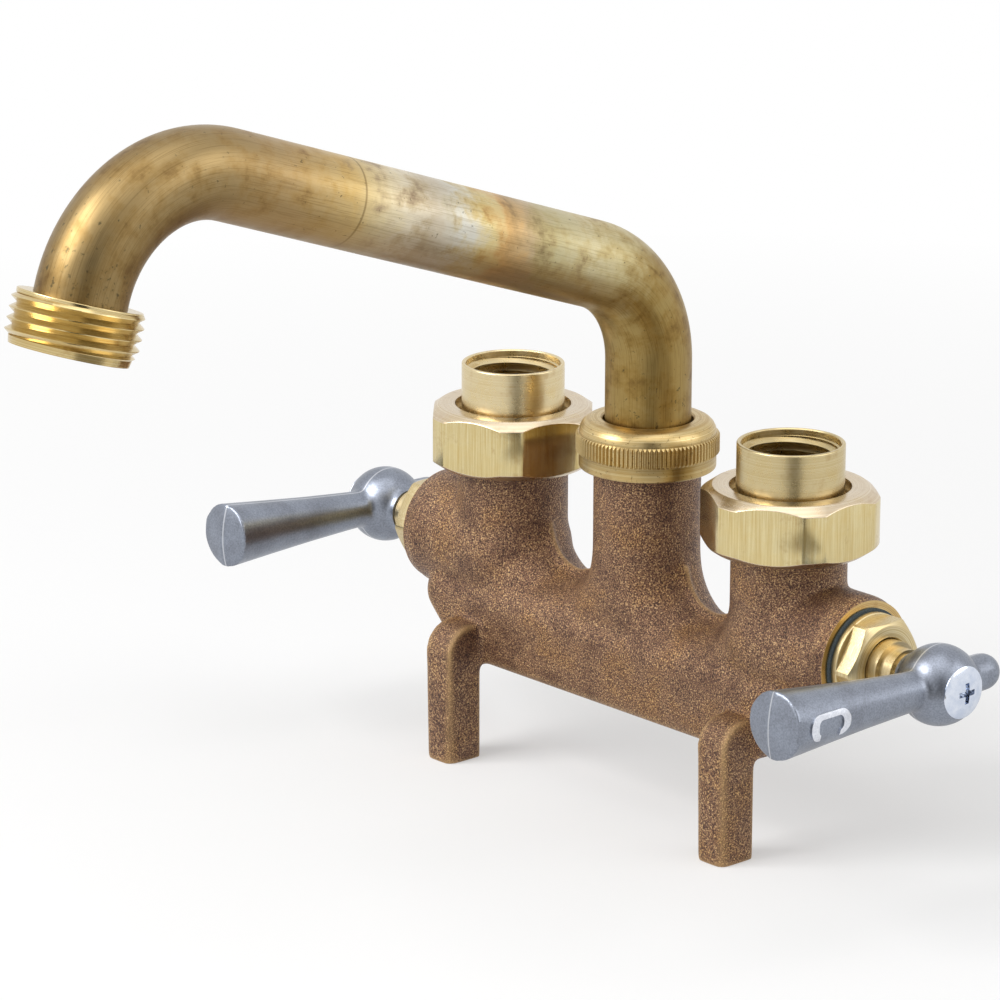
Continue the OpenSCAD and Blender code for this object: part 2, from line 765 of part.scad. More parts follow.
// Four-start screw: its lobes turn once in each lead
module start_lobes(crest_r, root_r) {
    polygon([for (i = [0 : 7]) (i % 2 == 0 ? crest_r : root_r) * [cos(45 * i), sin(45 * i)]]);
}

module four_start(crest_r, root_r, x0, x1) {
    turns = (x1 - x0) / screw_lead;
    on_valve_axis(x0) rotate([0, 0, 360 * x0 / screw_lead]) {
        linear_extrude(x1 - x0, twist = -360 * turns, slices = ceil(36 * turns), $fn = 8) {
            start_lobes(crest_r, root_r);
        }
    }
}

module spindle() {
    groove_r = spindle_bore_r - spindle_o_ring_w - face_gap;
    groove_w = spindle_o_ring_w + 2 * valve_gap;
    color(brass) difference() {
        union() {
            four_start(screw_d / 2, screw_root_d / 2, screw_tip_x, collar_in_x + spindle_collar_t / 2);
            barrel(2 * collar_r, collar_in_x, collar_out_x);
            barrel(spindle_d, collar_out_x, spindle_shoulder_x);
            barrel(spindle_neck_d, spindle_shoulder_x, spindle_neck_x);
            translate([spindle_neck_x, -drive_af / 2, valve_axis_z - drive_af / 2]) {
                cube([drive_end_x - spindle_neck_x, drive_af, drive_af]);
            }
            barrel(drive_af * sqrt(2) + 2 * joint_gap, spindle_neck_x, hub_boss_x - face_gap);
        }
        on_valve_axis(spindle_o_ring_x - groove_w / 2) washer(2 * spindle_d, 2 * groove_r, groove_w);
        barrel(handle_screw_d + 2 * joint_gap, screw_end_x - through, drive_end_x + through);
    }
}

module spindle_o_ring() {
    color(rubber) on_valve_axis(spindle_o_ring_x) {
        o_ring(spindle_bore_r - face_gap, spindle_o_ring_w);
    }
}

module plunger() {
    head_r = seat_washer_d / 2 + joint_gap;
    color(brass) difference() {
        union() {
            barrel(2 * plunger_r, plunger_head_x - washer_cup_h, plunger_end_x);
            intersection() {
                barrel(2 * lug_r, plunger_end_x - lug_len, plunger_end_x);
                translate([plunger_end_x - lug_len, -lug_w / 2, valve_axis_z - sleeve_d]) {
                    cube([lug_len, lug_w, 2 * sleeve_d]);
                }
            }
        }
        barrel(2 * head_r, plunger_head_x - washer_cup_h - through, plunger_head_x);
        barrel(
            washer_screw_d + 2 * joint_gap,
            plunger_head_x - through, plunger_head_x + washer_screw_grip
        );
        four_start(
            screw_d / 2 + valve_gap, screw_root_d / 2 + valve_gap,
            plunger_hole_x, plunger_end_x + through
        );
    }
}

module seat_washer() {
    color(rubber) on_valve_axis(washer_front_x) {
        washer(seat_washer_d, washer_screw_d + 2 * joint_gap, seat_washer_t);
    }
}

module washer_screw() {
    slot_w = washer_screw_head_d / 5;
    head_x = washer_front_x - washer_screw_head_h;
    color(brass) difference() {
        union() {
            barrel(washer_screw_head_d, head_x, washer_front_x);
            barrel(washer_screw_d, washer_front_x, plunger_head_x + washer_screw_grip);
        }
        translate([head_x - through, -washer_screw_head_d, valve_axis_z - slot_w / 2]) {
            cube([through + washer_screw_head_h / 2, 2 * washer_screw_head_d, slot_w]);
        }
    }
}

// Handles

// The lever about its own axis, from the hub's centre to its rounded end
module lever_bar() {
    end_r = lever_end_d / 2;
    rotate_extrude() {
        polygon([
            [0, 0],
            [lever_neck_d / 2, 0],
            [end_r, lever_len - lever_end_r],
            [end_r - lever_end_r, lever_len],
            [0, lever_len]
        ]);
    }
    translate([0, 0, lever_len - lever_end_r]) rotate_extrude() {
        translate([end_r - lever_end_r, 0]) intersection() {
            circle(lever_end_r);
            translate([0, -lever_end_r]) square([lever_end_r, 2 * lever_end_r]);
        }
    }
}

module handle() {
    drive_hole = drive_af + 2 * joint_gap;
    color(zinc) difference() {
        union() {
            intersection() {
                translate([hub_x, 0, valve_axis_z]) sphere(d = hub_d);
                barrel(2 * hub_d, hub_boss_x, hub_face_x);
            }
            barrel(hub_boss_d, hub_boss_x, hub_x);
            translate([hub_x, 0, valve_axis_z]) {
                rotate([90 - lever_tilt, 0, 0]) lever_bar();
                rotate([-90, 0, 0]) cylinder(d = tail_d, h = tail_len - tail_d / 2);
                translate([0, tail_len - tail_d / 2, 0]) sphere(d = tail_d);
            }
        }
        translate([hub_boss_x - through, -drive_hole / 2, valve_axis_z - drive_hole / 2]) {
            cube([drive_end_x - hub_boss_x + through + joint_gap, drive_hole, drive_hole]);
        }
        barrel(handle_screw_d + 2 * joint_gap, drive_end_x, hub_face_x + through);
    }
}

// A low dome on a thin rim
module screw_dome(head_r, head_h) {
    rise = 0.8 * head_h;
    dome_r = (head_r * head_r + rise * rise) / (2 * rise);
    rotate_extrude() intersection() {
        translate([0, head_h - dome_r]) circle(dome_r);
        square([head_r, 2 * head_h]);
    }
}

// The screw has a domed head with a cross recess
module handle_screw() {
    head_r = handle_screw_head_d / 2;
    wing = 0.8 * head_r;
    slot_w = head_r / 5;
    color(plated) difference() {
        union() {
            on_valve_axis(hub_face_x) screw_dome(head_r, handle_screw_head_h);
            barrel(handle_screw_d, screw_end_x, hub_face_x + handle_screw_head_h / 4);
        }
        for (turn = [0, 90]) {
            on_valve_axis(hub_face_x + handle_screw_head_h / 4) rotate([0, 0, turn]) {
                translate([-wing / 2, -slot_w / 2, 0]) cube([wing, slot_w, 2 * handle_screw_head_h]);
            }
        }
    }
}

// Spout

// Turns a shape drawn in the plane of reach and height into the spout's plane
module in_spout_plane() {
    rotate([90, 0, -90]) children();
}

module tube_section(thinning) {
    difference() {
        circle(tube_r - thinning);
        circle(tube_r - tube_wall + thinning);
    }
}

// The tube bent about a centre of the spout's plane
module bend(bend_r, centre, start, turn) {
    in_spout_plane() translate([centre[0], centre[1], 0]) rotate([0, 0, start]) {
        rotate_extrude(angle = turn) translate([bend_r, 0]) tube_section(bend_thinning);
    }
}

// The tube straight from a point of the spout's plane, along a climb angle. It reaches into the
// bends before and after it.
module straight(start, climb, len, before, after) {
    in_spout_plane() translate([start[0], start[1], 0]) rotate([0, 0, climb]) {
        translate([-before, 0, 0]) rotate([0, 90, 0]) linear_extrude(before + len + after) tube_section(0);
    }
}

module spout_tube() {
    color(old_brass) {
        straight([0, tube_foot_z], 90, riser_top_z - tube_foot_z, 0, bend_lap);
        bend(riser_bend_r, [riser_bend_r, riser_top_z], 180 - riser_turn, riser_turn);
        straight(run_start, rise_angle, run_len, bend_lap, bend_lap);
        bend(outlet_bend_r, outlet_bend_centre, 90 - outlet_dive, outlet_turn);
        straight(outlet_bend_end, -outlet_dive, outlet_stub + tube_socket, bend_lap, 0);
    }
}

// Moves a shape drawn about Z onto the outlet's axis, with its +Z the way the water leaves
module on_outlet_axis() {
    in_spout_plane() translate([hose_start[0], hose_start[1], 0]) rotate([0, 0, -outlet_dive]) {
        rotate([0, 90, 0]) children();
    }
}

module hose_outlet() {
    color(brass) on_outlet_axis() difference() {
        ring_thread(hose_thread_d / 2, hose_thread_depth, hose_pitch, hose_turns);
        upright(2 * (tube_r + joint_gap), -through, tube_socket + joint_gap);
        cylinder(d = hose_bore_d, h = hose_len + through);
    }
}

module spout_collar() {
    groove_r = spout_socket_r - spout_o_ring_w - face_gap;
    groove_w = spout_o_ring_w + 2 * valve_gap;
    color(brass) difference() {
        union() {
            upright(collar_d, collar_foot_z, collar_top_z);
            upright(collar_flange_d, collar_flange_z, collar_top_z);
        }
        upright(collar_bore_d, collar_foot_z - through, collar_top_z + through);
        upright(2 * (tube_r + joint_gap), tube_foot_z - joint_gap, collar_top_z + through);
        translate([0, 0, spout_o_ring_z - groove_w / 2]) washer(2 * collar_d, 2 * groove_r, groove_w);
    }
}

module spout_o_ring() {
    color(rubber) translate([0, 0, spout_o_ring_z]) o_ring(spout_socket_r - face_gap, spout_o_ring_w);
}

module slip_ring() {
    color(nylon) translate([0, 0, slip_ring_z]) washer(collar_flange_d, spout_hole_d, slip_ring_t);
}

// Straight knurl: one pointed tooth after another round the rim
module knurl_outline() {
    crest_r = spout_nut_d / 2;
    step = 360 / knurl_teeth;
    polygon([
        for (i = [0 : knurl_teeth - 1]) each [
            crest_r * [cos(i * step), sin(i * step)],
            (crest_r - knurl_depth) * [cos((i + 0.5) * step), sin((i + 0.5) * step)]
        ]
    ]);
}

module spout_nut_blank() {
    band_r = spout_nut_band_d / 2;
    upright(spout_nut_band_d, 0, spout_nut_h - spout_nut_dome_r);
    upright(spout_nut_band_d - 2 * spout_nut_dome_r, 0, spout_nut_h);
    translate([0, 0, spout_nut_h - spout_nut_dome_r]) rotate_extrude() {
        translate([band_r - spout_nut_dome_r, 0]) intersection() {
            circle(spout_nut_dome_r);
            square(spout_nut_dome_r);
        }
    }
    translate([0, 0, spout_nut_band_h]) linear_extrude(knurl_h) knurl_outline();
}

module spout_nut() {
    cavity_r = spout_thread_r - spout_thread_depth + thread_gap;
    color(brass) difference() {
        translate([0, 0, spout_nut_foot_z]) spout_nut_blank();
        upright(2 * (spout_thread_r + thread_gap), spout_nut_foot_z - through, spout_thread_z);
        translate([0, 0, spout_thread_z]) {
            ring_thread(spout_thread_r + thread_gap, spout_thread_depth, spout_pitch, spout_turns);
        }
        upright(2 * cavity_r, spout_top_z - face_gap, spout_lip_z);
        upright(spout_hole_d, spout_lip_z - through, spout_nut_top_z + through);
    }
}

body();
on_hot_side() union_nut(hot_nut_turn);  // hot_union_nut
on_cold_side() union_nut(cold_nut_turn);  // cold_union_nut
on_hot_side() tailpiece();  // hot_tailpiece
on_cold_side() tailpiece();  // cold_tailpiece
on_hot_side() union_washer();  // hot_union_washer
on_cold_side() union_washer();  // cold_union_washer
on_hot_side() valve_seat();  // hot_valve_seat
on_cold_side() valve_seat();  // cold_valve_seat
on_hot_side() bonnet();  // hot_bonnet
on_cold_side() bonnet();  // cold_bonnet
on_hot_side() bonnet_gasket();  // hot_bonnet_gasket
on_cold_side() bonnet_gasket();  // cold_bonnet_gasket
on_hot_side() spindle();  // hot_spindle
on_cold_side() spindle();  // cold_spindle
on_hot_side() spindle_o_ring();  // hot_spindle_o_ring
on_cold_side() spindle_o_ring();  // cold_spindle_o_ring
on_hot_side() thrust_washer();  // hot_thrust_washer
on_cold_side() thrust_washer();  // cold_thrust_washer
on_hot_side() plunger();  // hot_plunger
on_cold_side() plunger();  // cold_plunger
on_hot_side() seat_washer();  // hot_seat_washer
on_cold_side() seat_washer();  // cold_seat_washer
on_hot_side() washer_screw();  // hot_washer_screw
on_cold_side() washer_screw();  // cold_washer_screw
on_hot_side() handle();  // hot_handle
on_cold_side() handle();  // cold_handle
on_hot_side() handle_screw();  // hot_handle_screw
on_cold_side() handle_screw();  // cold_handle_screw
spout_tube();
hose_outlet();
spout_collar();
spout_o_ring();
slip_ring();
spout_nut();
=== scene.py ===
# %% [markdown]
# # A utility sink faucet, dressed
# The solid model of the faucet comes in as a fixed frame. Each piece that shows is modelled again here
# with the rounding, threads and seams of the real one, and gets the finish of its metal. The pieces
# that are hidden inside keep their solid and only get a finish.

# %% Load the frame
import json
import math
import bpy
from mathutils import Matrix, Vector


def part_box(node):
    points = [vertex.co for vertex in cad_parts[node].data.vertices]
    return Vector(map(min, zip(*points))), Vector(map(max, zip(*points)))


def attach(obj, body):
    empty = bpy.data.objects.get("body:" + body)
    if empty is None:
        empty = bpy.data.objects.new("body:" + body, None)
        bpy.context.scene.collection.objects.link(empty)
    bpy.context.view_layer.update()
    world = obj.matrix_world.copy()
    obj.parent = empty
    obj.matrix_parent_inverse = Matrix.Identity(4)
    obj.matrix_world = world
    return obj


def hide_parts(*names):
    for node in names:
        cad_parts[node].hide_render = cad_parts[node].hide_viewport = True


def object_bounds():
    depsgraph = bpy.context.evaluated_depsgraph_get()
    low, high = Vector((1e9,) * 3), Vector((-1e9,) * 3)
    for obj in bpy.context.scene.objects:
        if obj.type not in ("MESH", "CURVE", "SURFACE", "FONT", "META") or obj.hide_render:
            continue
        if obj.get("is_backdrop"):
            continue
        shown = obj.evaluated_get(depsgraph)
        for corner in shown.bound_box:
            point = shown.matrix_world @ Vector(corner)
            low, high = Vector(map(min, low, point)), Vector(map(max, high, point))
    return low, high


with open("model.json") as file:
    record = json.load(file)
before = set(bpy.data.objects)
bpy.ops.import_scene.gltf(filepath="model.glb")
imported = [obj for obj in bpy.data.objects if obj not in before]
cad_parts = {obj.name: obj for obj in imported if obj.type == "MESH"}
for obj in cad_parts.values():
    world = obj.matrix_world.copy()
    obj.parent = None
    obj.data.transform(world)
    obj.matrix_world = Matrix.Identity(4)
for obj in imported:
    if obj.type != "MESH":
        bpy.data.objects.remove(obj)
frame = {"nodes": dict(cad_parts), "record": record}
CAD_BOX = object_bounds()
BODY_OF = {node: body for body, nodes in frame["record"]["behaviour"]["bodies"].items() for node in nodes}
SLOT_OF = {part["node"]: part["material_slot"] for part in frame["record"]["subparts"]}
print("nodes:", len(frame["nodes"]), "box:", [[round(v, 4) for v in corner] for corner in CAD_BOX])

# %% [markdown]
# ## The camera
# The photograph was taken from the right of the faucet and a little above it, with a long lens. A camera
# is easiest to place by the two angles that it is seen under, the point that it aims at and its distance.

# %% Place the camera
MM = 0.001
CAMERA_TURN = math.radians(48.386)
CAMERA_CLIMB = math.radians(16.308)
CAMERA_ROLL = math.radians(0.128)
CAMERA_DISTANCE = 1095.5
AIM_SIDEWAYS = -32.43
AIM_HEIGHT = 45.39
SENSOR = 36.0
FOCAL_PIXELS = 4968.1
IMAGE_PIXELS = 1000


def towards(turn, climb):
    """The direction that is turned round from the front by one angle and raised by another."""
    return Vector((math.sin(turn) * math.cos(climb), -math.cos(turn) * math.cos(climb), math.sin(climb)))


view_back = towards(CAMERA_TURN, CAMERA_CLIMB)
view_right = Vector((math.cos(CAMERA_TURN), math.sin(CAMERA_TURN), 0))
view_up = view_back.cross(view_right)
aim = Vector((0, 0, AIM_HEIGHT)) + view_right * AIM_SIDEWAYS
bpy.ops.object.select_all(action="DESELECT")
bpy.ops.object.camera_add()
camera = bpy.context.active_object
camera.name = "camera"
camera.data.sensor_width = SENSOR
camera.data.lens = FOCAL_PIXELS * SENSOR / IMAGE_PIXELS
camera.data.clip_end = 100
turned_axes = Matrix((view_right, view_up, view_back)).transposed() @ Matrix.Rotation(CAMERA_ROLL, 3, "Z")
camera.matrix_world = Matrix.Translation((aim + view_back * CAMERA_DISTANCE) * MM) @ turned_axes.to_4x4()
bpy.context.scene.camera = camera
bpy.context.scene.view_settings.view_transform = "Standard"
print("lens:", round(camera.data.lens, 2), "mm, camera at", [round(v, 3) for v in camera.location])

# %% [markdown]
# ## The studio
# Metal shows what stands round it, so the studio matters as much as the metal. A white floor, a pale room
# and large soft lamps light it evenly. A dark card behind the camera and a grey one on the floor before it,
# seen only in reflections, give the turned parts the darker band down their middle that the photograph has.

# %% A helper that adds a shader node
def linear(colour):
    """The linear colour, with alpha, of an sRGB hex value such as "#c2a25f"."""
    parts = [int(colour[i:i + 2], 16) / 255 for i in (1, 3, 5)]
    return [c / 12.92 if c <= 0.04045 else ((c + 0.055) / 1.055) ** 2.4 for c in parts] + [1]


def node(tree, kind, links=None, stops=(), **settings):
    """Add a shader node: its settings, its inputs by name or number, set or linked, and a ramp's stops."""
    made = tree.nodes.new("ShaderNode" + kind)
    for name, value in settings.items():
        setattr(made, name, value)
    for name, value in (links or {}).items():
        if isinstance(value, bpy.types.NodeSocket):
            tree.links.new(value, made.inputs[name])
        else:
            made.inputs[name].default_value = value
    if stops:
        elements = made.color_ramp.elements
        while len(elements) < len(stops):
            elements.new(0.5)
        for element, (position, colour) in zip(elements, stops):
            element.position = position
            element.color = linear(colour)
    return made


# %% A white floor
# The floor and the room are plain white where they are seen, straight or in the metal. Near the faucet the
# floor keeps a share of its own shading, so that the faucet's shadow stays.
FLOOR_SIZE = 12
FLOOR_GAP = 0.1
MATT = 0.9
SHADED_SHARE = 0.6
SHADED_FROM, SHADED_TO = 0.12, 0.55
cad_low, cad_high = CAD_BOX


def seen(tree):
    """1 for what the camera sees, straight or in metal or glass, and 0 for light that falls on the faucet."""
    path = node(tree, "LightPath").outputs
    sight = path["Is Camera Ray"]
    for kind in ("Is Glossy Ray", "Is Transmission Ray"):
        sight = node(tree, "Math", {0: sight, 1: path[kind]}, operation="MAXIMUM").outputs["Value"]
    return sight


bpy.ops.mesh.primitive_plane_add(size=FLOOR_SIZE, location=(0, 0, cad_low.z - FLOOR_GAP * MM))
floor = bpy.context.active_object
floor.name = "floor"
white_paint = bpy.data.materials.new("white_floor_paint")
white_paint.use_nodes = True
tree = white_paint.node_tree
paint = tree.nodes["Principled BSDF"]
paint.inputs["Base Color"].default_value = linear("#fafafa")
paint.inputs["Roughness"].default_value = MATT
paint.inputs["Specular IOR Level"].default_value = 0.1
where = node(tree, "TexCoord").outputs["Object"]
away = node(tree, "VectorMath", {0: where}, operation="LENGTH").outputs["Value"]
plain = node(tree, "MapRange", {
    "Value": away, "From Min": SHADED_FROM, "From Max": SHADED_TO, "To Min": 1 - SHADED_SHARE, "To Max": 1.0,
}).outputs["Result"]
share = node(tree, "Math", {0: plain, 1: seen(tree)}, operation="MULTIPLY").outputs["Value"]
white = node(tree, "Emission", {"Color": linear("#ffffff"), "Strength": 1.0}).outputs["Emission"]
mixed = node(tree, "MixShader", {0: share, 1: paint.outputs["BSDF"], 2: white}).outputs["Shader"]
tree.links.new(mixed, tree.nodes["Material Output"].inputs["Surface"])
floor.data.materials.append(white_paint)
floor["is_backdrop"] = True
print("floor:", FLOOR_SIZE, "m, shaded within", SHADED_TO, "m")

# %% Room and lamps
ROOM_LIGHT = 0.27
room = bpy.data.worlds.new("pale_room")
room.use_nodes = True
tree = room.node_tree
background = tree.nodes["Background"]
background.inputs["Color"].default_value = linear("#ffffff")
strength = node(tree, "MapRange", {
    "Value": seen(tree), "To Min": ROOM_LIGHT, "To Max": 1.0,
}).outputs["Result"]
tree.links.new(strength, background.inputs["Strength"])
bpy.context.scene.world = room
# Name, turn and climb as the camera's are counted, distance and size in metres, and watts
LAMPS = [
    ("left_lamp", math.radians(-22), math.radians(42), 1.5, 0.9, 19),
    ("right_lamp", math.radians(125), math.radians(30), 1.5, 1.0, 5),
    ("top_lamp", math.radians(60), math.radians(80), 1.4, 1.2, 5),
]
for name, turn, climb, distance, size, watts in LAMPS:
    away = towards(turn, climb)
    bpy.ops.object.light_add(type="AREA", location=(cad_low + cad_high) / 2 + away * distance)
    lamp = bpy.context.active_object
    lamp.name = name
    lamp.data.shape = "SQUARE"
    lamp.data.size = size
    lamp.data.energy = watts
    lamp.rotation_euler = away.to_track_quat("Z", "Y").to_euler()


# %% Cards that show only in the metal
def card(name, colour, turn, away, height, width, length, lying):
    """A card of some colour towards a turn, upright or lying on the floor. Its sizes are in metres."""
    at = towards(turn, 0) * away + Vector((0, 0, height))
    bpy.ops.mesh.primitive_plane_add(size=1, location=at, rotation=(0 if lying else math.pi / 2, 0, turn))
    board = bpy.context.active_object
    board.name = name
    board.scale = (width, length, 1)
    paper = bpy.data.materials.new(name + "_paper")
    paper.use_nodes = True
    face = paper.node_tree.nodes["Principled BSDF"].inputs
    face["Base Color"].default_value = linear(colour)
    face["Roughness"].default_value = MATT
    board.data.materials.append(paper)
    board.visible_camera = board.visible_diffuse = board.visible_shadow = False
    board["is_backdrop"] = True
    print(name, "at", [round(v, 2) for v in at])


card("upright_card", "#1e1e1e", CAMERA_TURN + math.radians(4), 1.9, 0.5, 0.9, 1.9, False)
card("floor_card", "#8c8880", CAMERA_TURN + math.radians(8), 0.75, cad_low.z + 0.5 * MM, 0.24, 1.1, True)

# %% [markdown]
# ## Modelling helpers
# Blender's tools are made for things a few units across, so each piece is modelled in millimetres and
# shrunk to metres when it is done. Most of the pieces were made on a lathe: half of their section is
# drawn point by point and spun round an axis. The castings start as simple solids that overlap; a remesh
# turns these into one skin, and smoothing it gives the fillets that a mould leaves.

# %% Select, change and place
def only(piece):
    """Select one piece, and make it the one that operators act on."""
    bpy.ops.object.select_all(action="DESELECT")
    piece.select_set(True)
    bpy.context.view_layer.objects.active = piece


def edit(piece):
    """Open one piece in edit mode, with all of it selected."""
    only(piece)
    bpy.ops.object.mode_set(mode="EDIT")
    bpy.ops.mesh.select_all(action="SELECT")


def named(name):
    """Name the piece that was just added."""
    piece = bpy.context.active_object
    piece.name = piece.data.name = name
    return piece


def change(piece, kind, **settings):
    """Add a modifier with some settings and apply it."""
    only(piece)
    modifier = piece.modifiers.new(kind.lower(), kind)
    for name, value in settings.items():
        setattr(modifier, name, value)
    bpy.ops.object.modifier_apply(modifier=modifier.name)
    return piece


def combine(piece, other, operation):
    """Cut another solid out of a piece, add it or keep what they share. The other solid is used up."""
    change(piece, "BOOLEAN", object=other, operation=operation, solver="MANIFOLD")
    bpy.data.objects.remove(other)
    return piece


def join(pieces, name):
    """Make several pieces one object."""
    bpy.ops.object.select_all(action="DESELECT")
    for piece in pieces:
        piece.select_set(True)
    bpy.context.view_layer.objects.active = pieces[0]
    bpy.ops.object.join()
    return named(name)


def place(piece, turn=(0, 0, 0), move=(0, 0, 0), size=None):
    """Scale a piece if a size is given, turn it about the origin and move it, all in its mesh."""
    only(piece)
    piece.scale = size or piece.scale
    piece.rotation_euler = turn
    piece.location = move
    bpy.ops.object.transform_apply(location=True, rotation=True, scale=True)
    return piece


def copy_of(piece, name):
    """A copy of a piece with its own mesh."""
    only(piece)
    bpy.ops.object.duplicate()
    return named(name)


# %% Mirror, cut, weld and round
def faced_outwards(piece):
    """Turn all faces of a piece outwards."""
    edit(piece)
    bpy.ops.mesh.normals_make_consistent(inside=False)
    bpy.ops.object.mode_set(mode="OBJECT")
    return piece


def mirrored(piece, name):
    """A copy of a piece on the other side of the faucet, with its faces turned outwards again."""
    return faced_outwards(place(copy_of(piece, name), size=(-1, 1, 1)))


def trim(piece, point, outwards):
    """Cut a piece flat: what lies beyond the point, the way outwards points, goes."""
    edit(piece)
    bpy.ops.mesh.bisect(plane_co=point, plane_no=outwards, use_fill=True, clear_outer=True)
    bpy.ops.object.mode_set(mode="OBJECT")
    return piece


def weld(piece, distance):
    """Merge the points that lie closer than a distance, and drop the faces that this leaves without width."""
    edit(piece)
    bpy.ops.mesh.remove_doubles(threshold=distance)
    bpy.ops.mesh.dissolve_degenerate(threshold=distance)
    bpy.ops.object.mode_set(mode="OBJECT")


def soften(piece, width, angle=30, segments=2):
    """Round the edges sharper than an angle, once the tiny ones are gone that cutting leaves."""
    weld(piece, width / 3)
    return change(
        piece, "BEVEL", width=width, segments=segments, limit_method="ANGLE",
        angle_limit=math.radians(angle), use_clamp_overlap=True,
    )


# %% Draw an outline
def rounded(corners, arc_steps=5):
    """The outline through some corners, where a third value rounds a corner to that radius."""
    outline = []
    for i, (radius, height, *fillet) in enumerate(corners):
        here = Vector((radius, height))
        if not fillet:
            outline.append((radius, height))
            continue
        to_last = (Vector(corners[i - 1][:2]) - here).normalized()
        to_next = (Vector(corners[(i + 1) % len(corners)][:2]) - here).normalized()
        half = to_last.angle(to_next) / 2
        centre = here + (to_last + to_next).normalized() * fillet[0] / math.sin(half)
        start = here + to_last * fillet[0] / math.tan(half) - centre
        end = here + to_next * fillet[0] / math.tan(half) - centre
        for step in range(arc_steps + 1):
            spoke = start.normalized().slerp(end.normalized(), step / arc_steps)
            outline.append(tuple(centre + spoke * fillet[0]))
    return outline


def line(outline):
    """Draw an outline of (radius, height) points in the XZ plane, as edges, and stay in edit mode."""
    bpy.ops.object.select_all(action="DESELECT")
    bpy.ops.mesh.primitive_plane_add(size=1)
    bpy.ops.object.mode_set(mode="EDIT")
    bpy.ops.mesh.select_all(action="SELECT")
    bpy.ops.mesh.merge(type="CENTER")
    last = (0, 0)
    for i, (radius, height) in enumerate(outline):
        step = (radius - last[0], 0, height - last[1])
        if i == 0:
            bpy.ops.transform.translate(value=step)
        else:
            bpy.ops.mesh.extrude_vertices_move(TRANSFORM_OT_translate={"value": step})
        last = (radius, height)


# %% Turned solids and threads
# A turned shape meets itself where points lie closer than this. A thread is drawn with some turns to spare,
# which are cut off at both ends.
MEETING = 0.002
SPARE_TURNS = 2


def closed_up(name):
    """Merge the points where a shape meets itself, turn its faces outwards, leave edit mode and name it."""
    bpy.ops.mesh.select_all(action="SELECT")
    bpy.ops.mesh.remove_doubles(threshold=MEETING)
    bpy.ops.mesh.normals_make_consistent(inside=False)
    bpy.ops.object.mode_set(mode="OBJECT")
    return named(name)


def turned(name, corners, steps=128):
    """A lathe piece: an outline spun once round the Z axis. It closes on itself unless it meets the axis."""
    outline = rounded(corners)
    line(outline + outline[:1] if outline[0][0] > 0 else outline)
    bpy.ops.mesh.select_all(action="SELECT")
    bpy.ops.mesh.spin(steps=steps, angle=math.tau, axis=(0, 0, 1), center=(0, 0, 0))
    return closed_up(name)


def threaded(name, crest_r, depth, pitch, length, land=0.125, steps=96):
    """A rod with a true helical thread, from z = 0 up. The land is the crest's share of the pitch."""
    root_r = crest_r - depth
    crest = land * pitch / 2
    line([(root_r, 0), (crest_r, pitch / 2 - crest), (crest_r, pitch / 2 + crest), (root_r, pitch)])
    bpy.ops.object.mode_set(mode="OBJECT")
    screw = named(name)
    turns = math.ceil(length / pitch) + 2 * SPARE_TURNS
    change(
        screw, "SCREW", angle=math.tau, screw_offset=pitch, iterations=turns, steps=steps,
        render_steps=steps, use_merge_vertices=True, merge_threshold=MEETING, use_normal_calculate=True,
    )
    edit(place(screw, move=(0, 0, -SPARE_TURNS * pitch)))
    bpy.ops.mesh.remove_doubles(threshold=MEETING)
    bpy.ops.object.mode_set(mode="OBJECT")
    trim(screw, (0, 0, 0), (0, 0, -1))
    trim(screw, (0, 0, length), (0, 0, 1))
    return faced_outwards(screw)


# %% Simple solids
def rod(radius, start, end, sides=96):
    """A plain rod between two points."""
    axis = Vector(end) - Vector(start)
    bpy.ops.object.select_all(action="DESELECT")
    bpy.ops.mesh.primitive_cylinder_add(vertices=sides, radius=radius, depth=axis.length)
    return place(
        bpy.context.active_object, axis.to_track_quat("Z", "Y").to_euler(), (Vector(start) + Vector(end)) / 2,
    )


def block(low, high):
    """A box between two corners."""
    size = Vector(high) - Vector(low)
    bpy.ops.object.select_all(action="DESELECT")
    bpy.ops.mesh.primitive_cube_add(size=1, scale=size)
    return place(bpy.context.active_object, move=(Vector(high) + Vector(low)) / 2)


def ball(radius, centre):
    """A ball about a centre."""
    bpy.ops.object.select_all(action="DESELECT")
    bpy.ops.mesh.primitive_uv_sphere_add(segments=64, ring_count=32, radius=radius)
    return place(bpy.context.active_object, move=centre)


# %% Finish a piece
WELD = 0.004
dressed = []


def box_of(node_name):
    """A node's lowest and highest corner, in millimetres."""
    low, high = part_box(node_name)
    return low / MM, high / MM


def shrink(piece, *finishes):
    """Shrink a piece to metres and give it its finish."""
    weld(piece, WELD)
    place(piece, size=(MM, MM, MM))
    piece.data.materials.clear()
    for finish in finishes:
        piece.data.materials.append(finish)


def settle(piece, node_name, *finishes, crease=35):
    """Shrink, finish and shade a piece, with its creases kept, and let it stand for a node of the frame."""
    shrink(piece, *finishes)
    piece.name = piece.data.name = node_name + "_piece"
    bpy.ops.object.shade_smooth_by_angle(angle=math.radians(crease))
    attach(piece, BODY_OF[node_name])
    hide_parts(node_name)
    dressed.append(node_name)
    print(piece.name, "on", BODY_OF[node_name], "faces:", len(piece.data.polygons))
    return piece

# %% [markdown]
# ## Finishes
# Each metal here shows how it was worked. The body is bronze poured into sand, so it has the sand's grain.
# The nuts and inlets were turned from brass bar: the tool left fine rings, and the flats of the hexagons
# keep the lengthwise lines of the drawn bar. A pattern is laid out in a piece's own millimetres: a Mapping
# node of the Texture kind takes off the piece's centre and turn and divides by the size of a millimetre.

